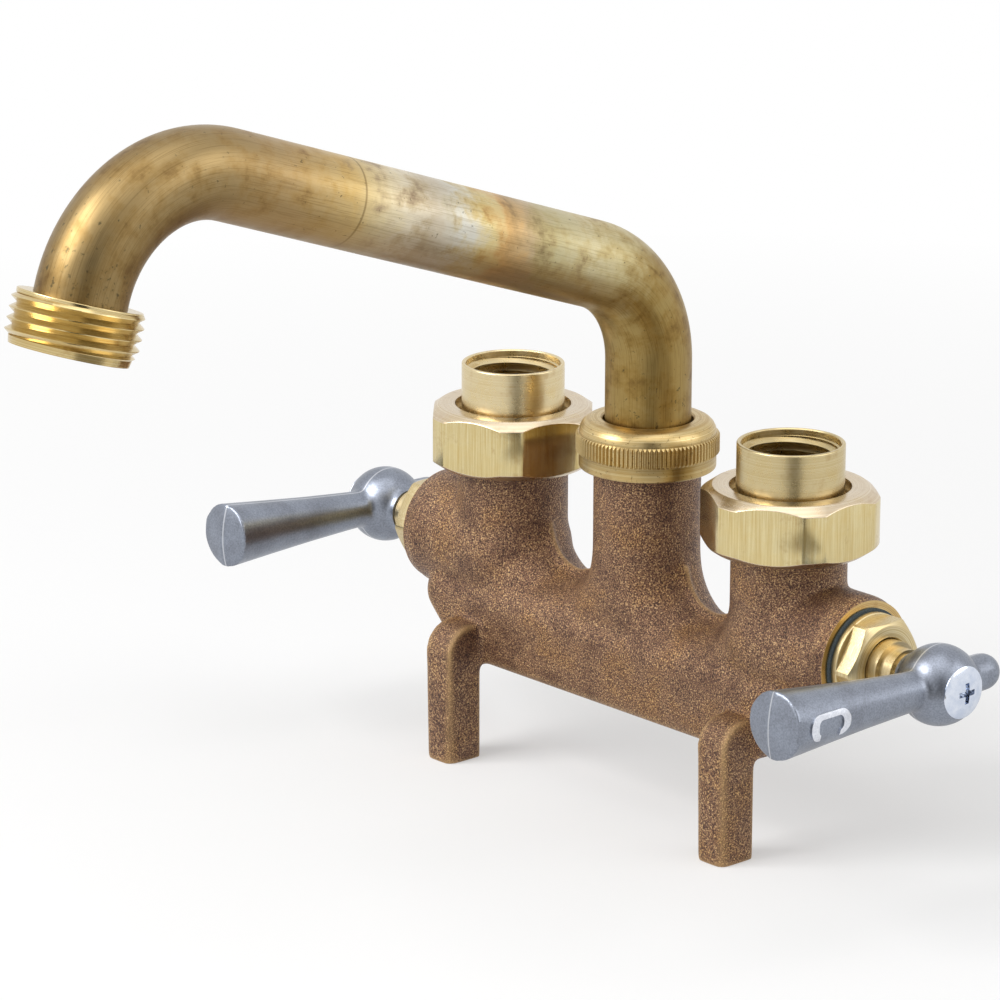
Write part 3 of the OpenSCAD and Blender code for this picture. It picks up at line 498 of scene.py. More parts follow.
# %% Start a finish
def finish_named(name, metallic, roughness):
    """A new material, its node tree, its shader and its Object coordinates."""
    finish = bpy.data.materials.new(name)
    finish.use_nodes = True
    tree = finish.node_tree
    shader = tree.nodes["Principled BSDF"]
    shader.inputs["Metallic"].default_value = metallic
    shader.inputs["Roughness"].default_value = roughness
    return finish, tree, shader, node(tree, "TexCoord").outputs["Object"]


# %% Sand-cast bronze
# The sand's grain makes the surface rough and broken in colour: brown dips, and gold where rubbing wore the
# tops of the grains. The edges are gold as well, partly from rubbing and partly as a painted highlight. Most
# of it lies under a dull skin of oxide, so it is only partly metallic.
SAND_GRAIN = 0.32
SAND_RELIEF = 0.3
STAIN_SIZE = 12.0


def sand_cast_bronze():
    """Stains over the grain, gold on the edges as wear and as painted highlight, and a relief made by the
    same grain.
    """
    finish, tree, shader, where = finish_named("sand_cast_bronze", 0.32, 0.5)
    grain = node(tree, "TexNoise", {
        "Vector": where, "Scale": 1 / (SAND_GRAIN * MM), "Detail": 3.0, "Roughness": 0.65,
    }).outputs["Fac"]
    stain = node(tree, "TexNoise", {
        "Vector": where, "Scale": 1 / (STAIN_SIZE * MM), "Detail": 4.0, "Roughness": 0.6,
    }).outputs["Fac"]
    grain_colour = node(tree, "ValToRGB", {"Fac": grain}, stops=[
        (0.35, "#2f2019"), (0.44, "#5f4335"), (0.51, "#83614b"), (0.58, "#ab8761"), (0.67, "#f0d39a"),
    ]).outputs["Color"]
    stain_colour = node(tree, "ValToRGB", {"Fac": stain}, stops=[
        (0.36, "#a88a7c"), (0.5, "#f6ece4"), (0.64, "#ffedc4"),
    ]).outputs["Color"]
    stained = node(tree, "Mix", {
        0: 0.7, 6: grain_colour, 7: stain_colour,
    }, data_type="RGBA", blend_type="MULTIPLY").outputs[2]
    # Convex edges, found by pointiness, turn gold: partly from rubbing, partly a painted highlight.
    edges = node(tree, "NewGeometry").outputs["Pointiness"]
    edge_wear_and_highlight = node(tree, "MapRange", {
        "Value": edges, "From Min": 0.506, "From Max": 0.535, "To Min": 0.0, "To Max": 0.6,
    }).outputs["Result"]
    worn_and_highlit = node(tree, "Mix", {0: edge_wear_and_highlight, 6: stained, 7: linear("#cda873")}, data_type="RGBA").outputs[2]
    tree.links.new(worn_and_highlit, shader.inputs["Base Color"])
    gloss = node(tree, "MapRange", {
        "Value": grain, "From Min": 0.3, "From Max": 0.7, "To Min": 0.58, "To Max": 0.3,
    }).outputs["Result"]
    tree.links.new(gloss, shader.inputs["Roughness"])
    bump = node(tree, "Bump", {"Height": grain, "Strength": 0.8, "Distance": SAND_RELIEF * MM})
    tree.links.new(bump.outputs["Normal"], shader.inputs["Normal"])
    return finish


# %% Turned and drawn brass
# On the lathe the tool leaves rings round the axis, both on the walls and on the end faces. A ring pattern is
# a noise that only knows two things: how far a point is from the axis, and how far along it. Drawing a bar
# leaves lines along it. Both are bright, warm and smooth, with faint clouds of tarnish.
RING_SPACING = 0.16
DRAWN_LINE = 0.3
MARK_RELIEF = 0.05
TARNISH_SIZE = 5.0
PIT_SIZE = 0.8


def drawn_marks(tree, own):
    """The lines along a drawn bar: a noise that is stretched along the axis."""
    across = node(tree, "VectorMath", {0: own, 1: (1, 1, 0.02)}, operation="MULTIPLY").outputs["Vector"]
    return node(tree, "TexNoise", {
        "Vector": across, "Scale": 1 / DRAWN_LINE, "Detail": 3.0, "Roughness": 0.6,
    }).outputs["Fac"]


def ring_marks(tree, own):
    """The rings that a lathe leaves round the axis."""
    flat = node(tree, "VectorMath", {0: own, 1: (1, 1, 0)}, operation="MULTIPLY").outputs["Vector"]
    reach = node(tree, "VectorMath", {0: flat}, operation="LENGTH").outputs["Value"]
    height = node(tree, "SeparateXYZ", {0: own}).outputs["Z"]
    rings = node(tree, "CombineXYZ", {"X": reach, "Y": height}).outputs["Vector"]
    return node(tree, "TexNoise", {
        "Vector": rings, "Scale": 1 / RING_SPACING, "Detail": 2.0, "Roughness": 0.55,
    }, noise_dimensions="2D").outputs["Fac"]


def shaded_and_pitted(tree, own, colour):
    """A colour with painted shade where the surface is hollow, as in the knurl's grooves, and with scattered
    dark pits.
    """
    # Painted shade: hollow places, found by pointiness, are darkened. The pits are marks of the metal itself.
    hollow_shade = node(tree, "MapRange", {
        "Value": node(tree, "NewGeometry").outputs["Pointiness"],
        "From Min": 0.40, "From Max": 0.49, "To Min": 0.8, "To Max": 0.0,
    }).outputs["Result"]
    fleck = node(tree, "TexNoise", {
        "Vector": own, "Scale": 1 / PIT_SIZE, "Detail": 3.0, "Roughness": 0.7,
    }).outputs["Fac"]
    pits = node(tree, "MapRange", {
        "Value": fleck, "From Min": 0.6, "From Max": 0.68, "To Min": 0.0, "To Max": 0.7,
    }).outputs["Result"]
    shade_and_pits = node(tree, "Math", {0: hollow_shade, 1: pits}, operation="MAXIMUM").outputs["Value"]
    return node(tree, "Mix", {0: shade_and_pits, 6: colour, 7: linear("#5f4a2b")}, data_type="RGBA").outputs[2]


# %% Put the brass together
def worked_brass(
    name, centre, turn=(0, 0, 0), drawn=False, groove_shade_and_pits=False, pale="#dccea9", deep="#c6b080", roughness=0.2,
):
    """Brass that was turned round an axis with a centre and a turn, or drawn along it."""
    finish, tree, shader, where = finish_named(name, 1.0, roughness)
    own = node(tree, "Mapping", {
        "Vector": where, "Location": [v * MM for v in centre], "Rotation": turn, "Scale": (MM, MM, MM),
    }, vector_type="TEXTURE").outputs["Vector"]
    marks = drawn_marks(tree, own) if drawn else ring_marks(tree, own)
    tarnish = node(tree, "TexNoise", {
        "Vector": own, "Scale": 1 / TARNISH_SIZE, "Detail": 5.0, "Roughness": 0.65,
    }).outputs["Fac"]
    metal = node(tree, "ValToRGB", {"Fac": marks}, stops=[(0.3, deep), (0.7, pale)]).outputs["Color"]
    clouds = node(tree, "ValToRGB", {"Fac": tarnish}, stops=[
        (0.3, "#e3d5c4"), (0.42, "#ffffff"), (0.66, "#fbf4e2"),
    ]).outputs["Color"]
    colour = node(tree, "Mix", {
        0: 0.6, 6: metal, 7: clouds,
    }, data_type="RGBA", blend_type="MULTIPLY").outputs[2]
    if groove_shade_and_pits:
        colour = shaded_and_pitted(tree, own, colour)
    tree.links.new(colour, shader.inputs["Base Color"])
    gloss = node(tree, "MapRange", {
        "Value": tarnish, "From Min": 0.3, "From Max": 0.7,
        "To Min": roughness + 0.06, "To Max": roughness - 0.04,
    }).outputs["Result"]
    tree.links.new(gloss, shader.inputs["Roughness"])
    bump = node(tree, "Bump", {"Height": marks, "Strength": 0.16, "Distance": MARK_RELIEF * MM})
    tree.links.new(bump.outputs["Normal"], shader.inputs["Normal"])
    return finish


# %% Die-cast zinc
# The levers were cast in a steel die and tumbled, which leaves a dull grey with tiny dents. The die's parting
# line was polished by rubbing, and a bright line is painted along it, a painted highlight for the light on
# its fine ridge. The parting line lies equally far out on both sides.
SEAM_X = 88.55
SEAM_HIGHLIGHT_CORE, SEAM_HIGHLIGHT_REACH = 0.05, 0.28
TUMBLE_DENT = 0.4
DENT_RELIEF = 0.06
CLOUD_SIZE = 7


def die_cast_zinc(name, pale, deep, roughness):
    """Zinc between two tones, with tumbled dents, faint clouds and a painted highlight on the parting line.
    """
    finish, tree, shader, where = finish_named(name, 1.0, roughness)
    dents = node(tree, "TexNoise", {
        "Vector": where, "Scale": 1 / (TUMBLE_DENT * MM), "Detail": 4.0, "Roughness": 0.6,
    }).outputs["Fac"]
    clouds = node(tree, "TexNoise", {
        "Vector": where, "Scale": 1 / (CLOUD_SIZE * MM), "Detail": 4.0, "Roughness": 0.6,
    }).outputs["Fac"]
    mottle = node(tree, "ValToRGB", {"Fac": dents}, stops=[(0.32, deep), (0.62, pale)]).outputs["Color"]
    shade = node(tree, "ValToRGB", {"Fac": clouds}, stops=[
        (0.3, "#dfdddc"), (0.6, "#ffffff"),
    ]).outputs["Color"]
    mixed = node(tree, "Mix", {
        0: 0.8, 6: mottle, 7: shade,
    }, data_type="RGBA", blend_type="MULTIPLY").outputs[2]
    # Painted highlight: a bright line along the die's parting line, as far out on both sides.
    sideways = node(tree, "SeparateXYZ", {0: where}).outputs["X"]
    from_middle = node(tree, "Math", {0: sideways}, operation="ABSOLUTE").outputs["Value"]
    from_seam = node(tree, "Math", {0: from_middle, 1: SEAM_X * MM}, operation="SUBTRACT").outputs["Value"]
    off_seam = node(tree, "Math", {0: from_seam}, operation="ABSOLUTE").outputs["Value"]
    seam_highlight = node(tree, "MapRange", {
        "Value": off_seam, "From Min": SEAM_HIGHLIGHT_CORE * MM, "From Max": SEAM_HIGHLIGHT_REACH * MM,
        "To Min": 0.5, "To Max": 0.0,
    }).outputs["Result"]
    seam_highlit = node(tree, "Mix", {0: seam_highlight, 6: mixed, 7: linear("#f2f4f8")}, data_type="RGBA").outputs[2]
    tree.links.new(seam_highlit, shader.inputs["Base Color"])
    bump = node(tree, "Bump", {"Height": dents, "Strength": 0.14, "Distance": DENT_RELIEF * MM})
    tree.links.new(bump.outputs["Normal"], shader.inputs["Normal"])
    return finish


# %% Plating, rubber, fibre and nylon
# Bright plated steel is nearly a mirror with a blue cast. Moulded rubber is matt and almost black, pressed
# fibre grey and dull, and natural nylon milky. One fine grain varies the colour and the surface of each.
def speckled(name, metallic, roughness, grain, dark, light, depth):
    """A finish whose colour and surface vary with one fine grain, such as rubber, fibre or plating."""
    finish, tree, shader, where = finish_named(name, metallic, roughness)
    fleck = node(tree, "TexNoise", {
        "Vector": where, "Scale": 1 / (grain * MM), "Detail": 3.0, "Roughness": 0.6,
    }).outputs["Fac"]
    colour = node(tree, "ValToRGB", {"Fac": fleck}, stops=[(0.35, dark), (0.65, light)]).outputs["Color"]
    tree.links.new(colour, shader.inputs["Base Color"])
    bump = node(tree, "Bump", {"Height": fleck, "Strength": 0.2, "Distance": depth * MM})
    tree.links.new(bump.outputs["Normal"], shader.inputs["Normal"])
    return finish


bronze = sand_cast_bronze()
zinc = die_cast_zinc("tumbled_die_cast_zinc", "#969ca9", "#7f858f", 0.36)
bright_zinc = die_cast_zinc("rubbed_die_cast_zinc", "#e6e9f0", "#ccd0da", 0.3)
plating = speckled("bright_plated_steel", 1.0, 0.12, 2.5, "#c6cfe0", "#dbe1ec", 0.01)
rubber = speckled("moulded_black_rubber", 0.0, 0.6, 0.3, "#17191a", "#262929", 0.05)
fibre = speckled("pressed_grey_fibre", 0.0, 0.75, 0.25, "#37434a", "#4f5c63", 0.06)
nylon = speckled("natural_nylon", 0.0, 0.45, 1.2, "#dcd8c8", "#ece9de", 0.02)
print("finishes:", [finish.name for finish in (bronze, zinc, bright_zinc, plating, rubber, fibre, nylon)])

# %% [markdown]
# ## The body casting
# One pour of bronze makes the manifold, the three towers, the two valve chambers and the two legs that
# straddle the tub's rim. Modelling every fillet by hand would take long. Simple solids that overlap are
# remeshed into one skin instead, and smoothing that skin rounds its corners inside and out, as a mould does.
# The mould's two halves met in a plane through the towers, and left a filed-down ridge in the saddles.

# %% Sizes of the casting
body_low, body_high = box_of("body")
inlet_x = sum(corner.x for corner in box_of("cold_tailpiece")) / 2
valve_z = sum(corner.z for corner in box_of("cold_bonnet_gasket")) / 2
nut_foot = box_of("cold_union_nut")[0].z
spout_nut_foot = box_of("spout_nut")[0].z
chamber_end = body_high.x
leg_mount = next(mount for mount in frame["record"]["mounts"] if mount["name"] == "cold_leg_back")
manifold_half = -leg_mount["pos_m"][1] / MM
MANIFOLD_H = 22.0
MANIFOLD_FOOT_R = 2.5
MANIFOLD_SHOULDER_R = 9.0
MANIFOLD_CORNER_R = 4.0
END_SLOPE = [(5.0, 0.0), (11.5, 8.0), (18.0, 23.0)]
END_INSET = 1.0
CHAMBER_R = 13.7
CHAMBER_RIM_R = 13.0
CHAMBER_RIM_LEN = 1.6
CHAMBER_SPARE = 3.0
INLET_TOWER_R = 12.6
SPOUT_TOWER_R = 11.9
TOWER_SPARE = 4.0
SADDLE_H = 23.3
SADDLE_R = 12.0
FIN_W = 1.5
FIN_RISE = 1.6
LEG_W = 8.0
LEG_TOP = 10.2
LEG_SHOULDER_R = 6.5
LEG_EDGE_R = 1.8
LEG_GROWTH = 0.3
LEG_ROOT_Z = 1.0
CAST_VOXEL = 0.6
CAST_SMOOTHING = 26
print("casting:", [round(v, 2) for v in body_low], [round(v, 2) for v in body_high], "inlets at", inlet_x)


# %% Choose and round edges
NEAR = 0.01


def round_edges(piece, chosen, width, segments=10):
    """Bevel, in edit mode, the edges that a test of their two ends picks."""
    only(piece)
    bpy.ops.object.mode_set(mode="EDIT")
    bpy.ops.mesh.select_mode(type="EDGE")
    bpy.ops.mesh.select_all(action="DESELECT")
    bpy.ops.object.mode_set(mode="OBJECT")
    points = piece.data.vertices
    for edge in piece.data.edges:
        edge.select = chosen(*(points[i].co for i in edge.vertices))
    bpy.ops.object.mode_set(mode="EDIT")
    bpy.ops.mesh.bevel(offset=width, segments=segments, affect="EDGES")
    bpy.ops.mesh.select_mode(type="VERT")
    bpy.ops.object.mode_set(mode="OBJECT")
    return piece


def upright(a, b):
    """True if an edge from a to b stands upright."""
    return abs(a.x - b.x) + abs(a.y - b.y) < NEAR


# %% Forms of the casting
def manifold():
    """The bar along the bottom, whose ends slope out to carry the valve chambers."""
    end = inlet_x + END_SLOPE[-1][0] - END_INSET
    bar = block((-end, -manifold_half, 0), (end, manifold_half, MANIFOLD_H))
    round_edges(bar, upright, MANIFOLD_CORNER_R)
    round_edges(bar, lambda a, b: min(a.z, b.z) > MANIFOLD_H - NEAR, MANIFOLD_SHOULDER_R)
    round_edges(bar, lambda a, b: max(a.z, b.z) < NEAR, MANIFOLD_FOOT_R)
    for side in (-1, 1):
        for (reach, z), (next_reach, next_z) in zip(END_SLOPE, END_SLOPE[1:]):
            trim(bar, (side * (inlet_x + reach), 0, z), (side * (next_z - z), 0, reach - next_reach))
    return bar


def saddle(side, section_r):
    """A pipe bend from tower to tower: the lower half of a ring with that section."""
    bend_r = inlet_x / 2
    bend_z = SADDLE_H + bend_r - SADDLE_R
    bpy.ops.object.select_all(action="DESELECT")
    bpy.ops.mesh.primitive_torus_add(
        major_radius=bend_r, minor_radius=section_r, major_segments=128, minor_segments=64,
    )
    ring = place(named("saddle"), (math.pi / 2, 0, 0), (side * bend_r, 0, bend_z))
    return trim(ring, (0, 0, bend_z), (0, 0, 1))


def parting_fin(side):
    """The fin where the mould's halves met: a slice of a thicker saddle, smoothed later to a low ridge."""
    fin = saddle(side, SADDLE_R + FIN_RISE)
    for way in (-1, 1):
        trim(fin, (0, way * FIN_W / 2, 0), (0, way, 0))
    return fin


def leg(side):
    """A leg and its root in the manifold. Smoothing draws a thin leg in, so it starts a little larger."""
    left = side * inlet_x - LEG_W / 2 - LEG_GROWTH
    right = side * inlet_x + LEG_W / 2 + LEG_GROWTH
    front = body_low.y - LEG_GROWTH
    back = -manifold_half + LEG_GROWTH
    bar = block((left, front, body_low.z - 2 * LEG_GROWTH), (right, back, LEG_TOP))
    at_front = front + NEAR
    round_edges(bar, lambda a, b: min(a.z, b.z) > LEG_TOP - NEAR and max(a.y, b.y) < at_front, LEG_SHOULDER_R)
    round_edges(bar, lambda a, b: upright(a, b) and max(a.y, b.y) < at_front, LEG_EDGE_R)
    return [bar, block((left, front + LEG_SHOULDER_R, LEG_ROOT_Z), (right, -manifold_half / 2, LEG_TOP))]


# %% Melt the forms into one skin
parts = [manifold(), rod(SPOUT_TOWER_R, (0, 0, MANIFOLD_H / 2), (0, 0, spout_nut_foot + TOWER_SPARE))]
for side in (-1, 1):
    parts += [saddle(side, SADDLE_R), parting_fin(side), *leg(side)]
    tower_x = side * inlet_x
    parts.append(rod(INLET_TOWER_R, (tower_x, 0, MANIFOLD_H / 2), (tower_x, 0, nut_foot + TOWER_SPARE)))
    barrel_start = (tower_x, 0, valve_z)
    parts.append(ball(CHAMBER_R, barrel_start))
    parts.append(rod(CHAMBER_R, barrel_start, (side * (chamber_end - CHAMBER_RIM_LEN), 0, valve_z)))
    parts.append(rod(CHAMBER_RIM_R, barrel_start, (side * (chamber_end + CHAMBER_SPARE), 0, valve_z)))
casting = join(parts, "casting")
change(casting, "REMESH", mode="VOXEL", voxel_size=CAST_VOXEL, adaptivity=0)
change(casting, "SMOOTH", factor=0.5, iterations=CAST_SMOOTHING)
trim(casting, (0, 0, body_low.z), (0, 0, -1))
print("casting skin:", len(casting.data.polygons), "faces")

# %% Threads and bores of the casting
# The tops of the towers were threaded on a lathe and the chambers bored, so these are added and cut as turned
# solids. A cutter reaches past the surface that it cuts.
OVERCUT = 1.0
UNION_THREAD = {"crest_r": 15.6, "depth": 0.8, "pitch": 1.5}
SPOUT_THREAD = {"crest_r": 13.0, "depth": 0.7, "pitch": 1.4}
INLET_TOP = 52.1
INLET_BORE_R = 8.0
INLET_FLOOR = 38.0
PORT_R = 4.5
PORT_INSET = 1.0
BONNET_BORE_R = 9.92
BONNET_BORE_LEN = 8.5
CHAMBER_BORE_R = 9.0
CHAMBER_OVERCUT = 5.0
CHAMBER_FLOOR_INSET = 4.0
SEAT_SOCKET_R = 6.54
SEAT_SOCKET_LEN = 3.5
DROP_R = 4.0
MANIFOLD_BORE_R = 6.5
MANIFOLD_BORE_Z = 10.5
SPOUT_PASSAGE_R = 6.8
SPOUT_SOCKET_R = 10.38
SPOUT_SOCKET_FLOOR = 42.0


def thread_on(thread, x, foot, top):
    """A threaded rod that stands on a tower."""
    return place(threaded("thread", length=top - foot, **thread), move=(x, 0, foot))


def side_bores(side):
    """The rods that are bored out of one side: inlet, port, chamber, seat socket and drop."""
    floor_x = inlet_x - CHAMBER_FLOOR_INSET
    seat_x = floor_x - SEAT_SOCKET_LEN
    drop_x = seat_x - DROP_R / 1.5
    port_x = floor_x + PORT_R + PORT_INSET
    beyond = chamber_end + CHAMBER_OVERCUT
    stations = [
        (INLET_BORE_R, (inlet_x, INLET_FLOOR), (inlet_x, INLET_TOP + OVERCUT)),
        (PORT_R, (port_x, valve_z), (port_x, INLET_FLOOR + OVERCUT)),
        (CHAMBER_BORE_R, (floor_x, valve_z), (beyond, valve_z)),
        (BONNET_BORE_R, (chamber_end - BONNET_BORE_LEN, valve_z), (beyond, valve_z)),
        (SEAT_SOCKET_R, (seat_x, valve_z), (floor_x + OVERCUT, valve_z)),
        (DROP_R, (drop_x, valve_z), (seat_x + OVERCUT, valve_z)),
        (DROP_R, (drop_x, MANIFOLD_BORE_Z), (drop_x, valve_z - DROP_R / 4)),
        (MANIFOLD_BORE_R, (-OVERCUT, MANIFOLD_BORE_Z), (drop_x + DROP_R, MANIFOLD_BORE_Z)),
    ]
    return [rod(r, (side * x0, 0, z0), (side * x1, 0, z1)) for r, (x0, z0), (x1, z1) in stations]


# %% Machine and bore the casting
# The end faces of the chambers were turned, so they are bright bronze with the tool's rings.
THREAD_TURNS = 4
LAID_DOWN = (0, math.pi / 2, 0)
machined = worked_brass("machined_bronze", (0, 0, valve_z), LAID_DOWN, deep="#b0905e", pale="#d9c18c")
threads = [
    (-inlet_x, UNION_THREAD, INLET_TOP),
    (inlet_x, UNION_THREAD, INLET_TOP),
    (0, SPOUT_THREAD, body_high.z),
]
for x, thread, top in threads:
    combine(casting, thread_on(thread, x, top - THREAD_TURNS * thread["pitch"], top), "UNION")
for side in (-1, 1):
    trim(casting, (side * chamber_end, 0, 0), (side, 0, 0))
bores = side_bores(-1) + side_bores(1)
bores.append(rod(SPOUT_PASSAGE_R, (0, 0, MANIFOLD_BORE_Z), (0, 0, SPOUT_SOCKET_FLOOR + OVERCUT)))
bores.append(rod(SPOUT_SOCKET_R, (0, 0, SPOUT_SOCKET_FLOOR), (0, 0, body_high.z + OVERCUT)))
for bore in bores:
    combine(casting, bore, "DIFFERENCE")
body_piece = settle(casting, "body", bronze, machined)
for face in body_piece.data.polygons:
    face.material_index = int(abs(face.center.x) > (chamber_end - NEAR) * MM)

# %% [markdown]
# ## The inlet unions
# A union nut holds each inlet on its tower. It was cut from hexagon bar: the lathe turned its corners down
# and chamfered both ends, which leaves the curved edges where the flats meet the chamfer. Here a hexagon is
# intersected with the turned shape, which gives those curves by itself.

# %% Union nuts
UNION_NUT_AF = 35.8
UNION_NUT_CORNER_R = 19.35
UNION_NUT_FACE_R = 16.8
UNION_NUT_CHAMFER = 1.785
UNION_HOLE_R = 13.15
UNION_LIP = 2.6
UNION_CAVITY_R = 14.92
THREAD_GAP = 0.12
NUT_TURNS = {"hot": 137.0, "cold": 31.0}
EDGE_ROUNDING = 0.12
FLATS_FROM_R = 1.2 * UNION_HOLE_R
LEANING = 0.02


def tapped(nut, thread, foot, top):
    """Cut a thread into a nut, from its foot up, a little wider than the thread that goes into it."""
    wider = dict(thread, crest_r=thread["crest_r"] + THREAD_GAP)
    tap = threaded("tap", length=top - foot + OVERCUT, **wider)
    return combine(nut, place(tap, move=(0, 0, foot - OVERCUT)), "DIFFERENCE")


def union_nut(side):
    """A nut round Z: a turned blank that is cut to a hexagon, bored and tapped."""
    foot, top = (corner.z for corner in box_of(side + "_union_nut"))
    nut = turned("nut", [
        (0, foot), (UNION_NUT_FACE_R, foot), (UNION_NUT_CORNER_R, foot + UNION_NUT_CHAMFER),
        (UNION_NUT_CORNER_R, top - UNION_NUT_CHAMFER), (UNION_NUT_FACE_R, top), (0, top),
    ], steps=144)
    hexagon = rod(UNION_NUT_AF / math.sqrt(3), (0, 0, foot - OVERCUT), (0, 0, top + OVERCUT), sides=6)
    place(hexagon, turn=(0, 0, math.radians(NUT_TURNS[side] - 90)))
    combine(nut, hexagon, "INTERSECT")
    hole = turned("hole", [
        (0, INLET_TOP - OVERCUT), (UNION_CAVITY_R, INLET_TOP - OVERCUT), (UNION_CAVITY_R, top - UNION_LIP),
        (UNION_HOLE_R, top - UNION_LIP), (UNION_HOLE_R, top + OVERCUT), (0, top + OVERCUT),
    ])
    combine(nut, hole, "DIFFERENCE")
    soften(nut, EDGE_ROUNDING, angle=24)
    return tapped(nut, UNION_THREAD, foot, INLET_TOP)


for side, x in (("hot", -inlet_x), ("cold", inlet_x)):
    nut = place(union_nut(side), move=(x, 0, 0))
    name = side + "_nut"
    faced = worked_brass(name + "_turned_brass", (x, 0, 0), pale="#dccfb8", deep="#c6b295", roughness=0.27)
    flats = worked_brass(name + "_drawn_brass", (x, 0, 0), drawn=True, pale="#ddd0a4", deep="#c8b27a")
    nut = settle(nut, side + "_union_nut", faced, flats)
    for face in nut.data.polygons:
        outwards = (face.center - Vector((x * MM, 0, face.center.z))).length > FLATS_FROM_R * MM
        face.material_index = int(abs(face.normal.z) < LEANING and outwards)

# %% [markdown]
# Each tailpiece is turned from bar too. Its pipe thread can be seen in its mouth, so the thread is a real
# helix: a rod with that thread is taken away from the solid, as a tap would cut it.

# %% Tailpieces
TAIL_R = 11.65
TAIL_FLANGE_R = 14.5
TAIL_FLANGE_H = 2.4
TAIL_BORE_R = 8.0
TAIL_EDGE = 0.35
PIPE_THREAD = {"crest_r": 10.6, "depth": 1.45, "pitch": 1.814}
PIPE_THREAD_LEN = 9.07
MOUTH_R = 10.7
MOUTH_H = 1.5
MOUTH_LEAD = 0.6
MOUTH_CHAMFER = 0.25


def tailpiece(foot, top):
    """An inlet round Z, between two heights: turned, bored and tapped from above."""
    piece = turned("tailpiece", [
        (0, foot), (TAIL_FLANGE_R, foot, TAIL_EDGE), (TAIL_FLANGE_R, foot + TAIL_FLANGE_H, TAIL_EDGE),
        (TAIL_R, foot + TAIL_FLANGE_H, TAIL_EDGE), (TAIL_R, top, TAIL_EDGE), (0, top),
    ], steps=160)
    thread_top = top - MOUTH_H
    thread_foot = thread_top - PIPE_THREAD_LEN
    bore = turned("bore", [
        (0, foot - OVERCUT), (TAIL_BORE_R, foot - OVERCUT),
        (TAIL_BORE_R, thread_foot + OVERCUT), (0, thread_foot + OVERCUT),
    ])
    mouth = turned("mouth", [
        (0, thread_top - MOUTH_LEAD), (PIPE_THREAD["crest_r"] - 1, thread_top - MOUTH_LEAD),
        (MOUTH_R - 0.1, thread_top), (MOUTH_R, top - MOUTH_CHAMFER),
        (MOUTH_R + 2 * MOUTH_CHAMFER, top + MOUTH_CHAMFER), (0, top + MOUTH_CHAMFER),
    ])
    tap = place(threaded("tap", length=PIPE_THREAD_LEN, land=0.1, **PIPE_THREAD), move=(0, 0, thread_foot))
    for cutter in (bore, mouth, tap):
        combine(piece, cutter, "DIFFERENCE")
    return piece


for side, x, pale, deep in (("hot", -inlet_x, "#dccea9", "#d0bc90"), ("cold", inlet_x, "#cebf97", "#bda97a")):
    foot, top = (corner.z for corner in box_of(side + "_tailpiece"))
    piece = place(tailpiece(foot, top), move=(x, 0, 0))
    brass = worked_brass(side + "_tailpiece_turned_brass", (x, 0, 0), pale=pale, deep=deep, roughness=0.27)
    settle(piece, side + "_tailpiece", brass)

# %% [markdown]
# ## The spout's nut
# The nut that holds the spout is tightened by hand, so a band of it is knurled. The knurl is a disc whose rim
# steps in and out between flat crests and grooves, pulled up to the height of the band.

# %% Spout nut
SPOUT_NUT_R = 15.85
SPOUT_BAND_R = 15.15
SPOUT_BAND_H = 3.3
KNURL_H = 4.6
KNURL_TEETH = 98
KNURL_DEPTH = 0.5
POINTS_OF_TOOTH = 4
SPOUT_EDGE = 0.5
SPOUT_DOME_R = 3.2
SPOUT_HOLE_R = 9.95
SPOUT_HOLE_EDGE = 0.4
SPOUT_FLARE, SPOUT_FLARE_H = 0.5, 0.1
SPOUT_LIP = 2.2
SPOUT_CAVITY_R = 12.42


def knurl(foot):
    """The knurled band. Half the points of each tooth stay on the crest, and half go down to the groove."""
    points = POINTS_OF_TOOTH * KNURL_TEETH
    bpy.ops.object.select_all(action="DESELECT")
    bpy.ops.mesh.primitive_circle_add(vertices=points, radius=SPOUT_NUT_R, fill_type="NGON")
    disc = named("knurl")
    bpy.ops.object.mode_set(mode="EDIT")
    bpy.ops.mesh.select_mode(type="VERT")
    bpy.ops.mesh.select_all(action="DESELECT")
    bpy.ops.object.mode_set(mode="OBJECT")
    for point in disc.data.vertices:
        point.select = point.index % POINTS_OF_TOOTH >= POINTS_OF_TOOTH / 2
    bpy.ops.object.mode_set(mode="EDIT")
    groove = 1 - KNURL_DEPTH / SPOUT_NUT_R
    bpy.ops.transform.resize(value=(groove, groove, 1))
    bpy.ops.mesh.select_all(action="SELECT")
    bpy.ops.mesh.extrude_region_move(TRANSFORM_OT_translate={"value": (0, 0, KNURL_H)})
    bpy.ops.object.mode_set(mode="OBJECT")
    faced_outwards(disc)
    chamfered = turned("chamfered", [
        (0, 0), (SPOUT_NUT_R - KNURL_DEPTH, 0), (SPOUT_NUT_R, KNURL_DEPTH),
        (SPOUT_NUT_R, KNURL_H - KNURL_DEPTH), (SPOUT_NUT_R - KNURL_DEPTH, KNURL_H), (0, KNURL_H),
    ], steps=points)
    return place(combine(disc, chamfered, "INTERSECT"), move=(0, 0, foot))


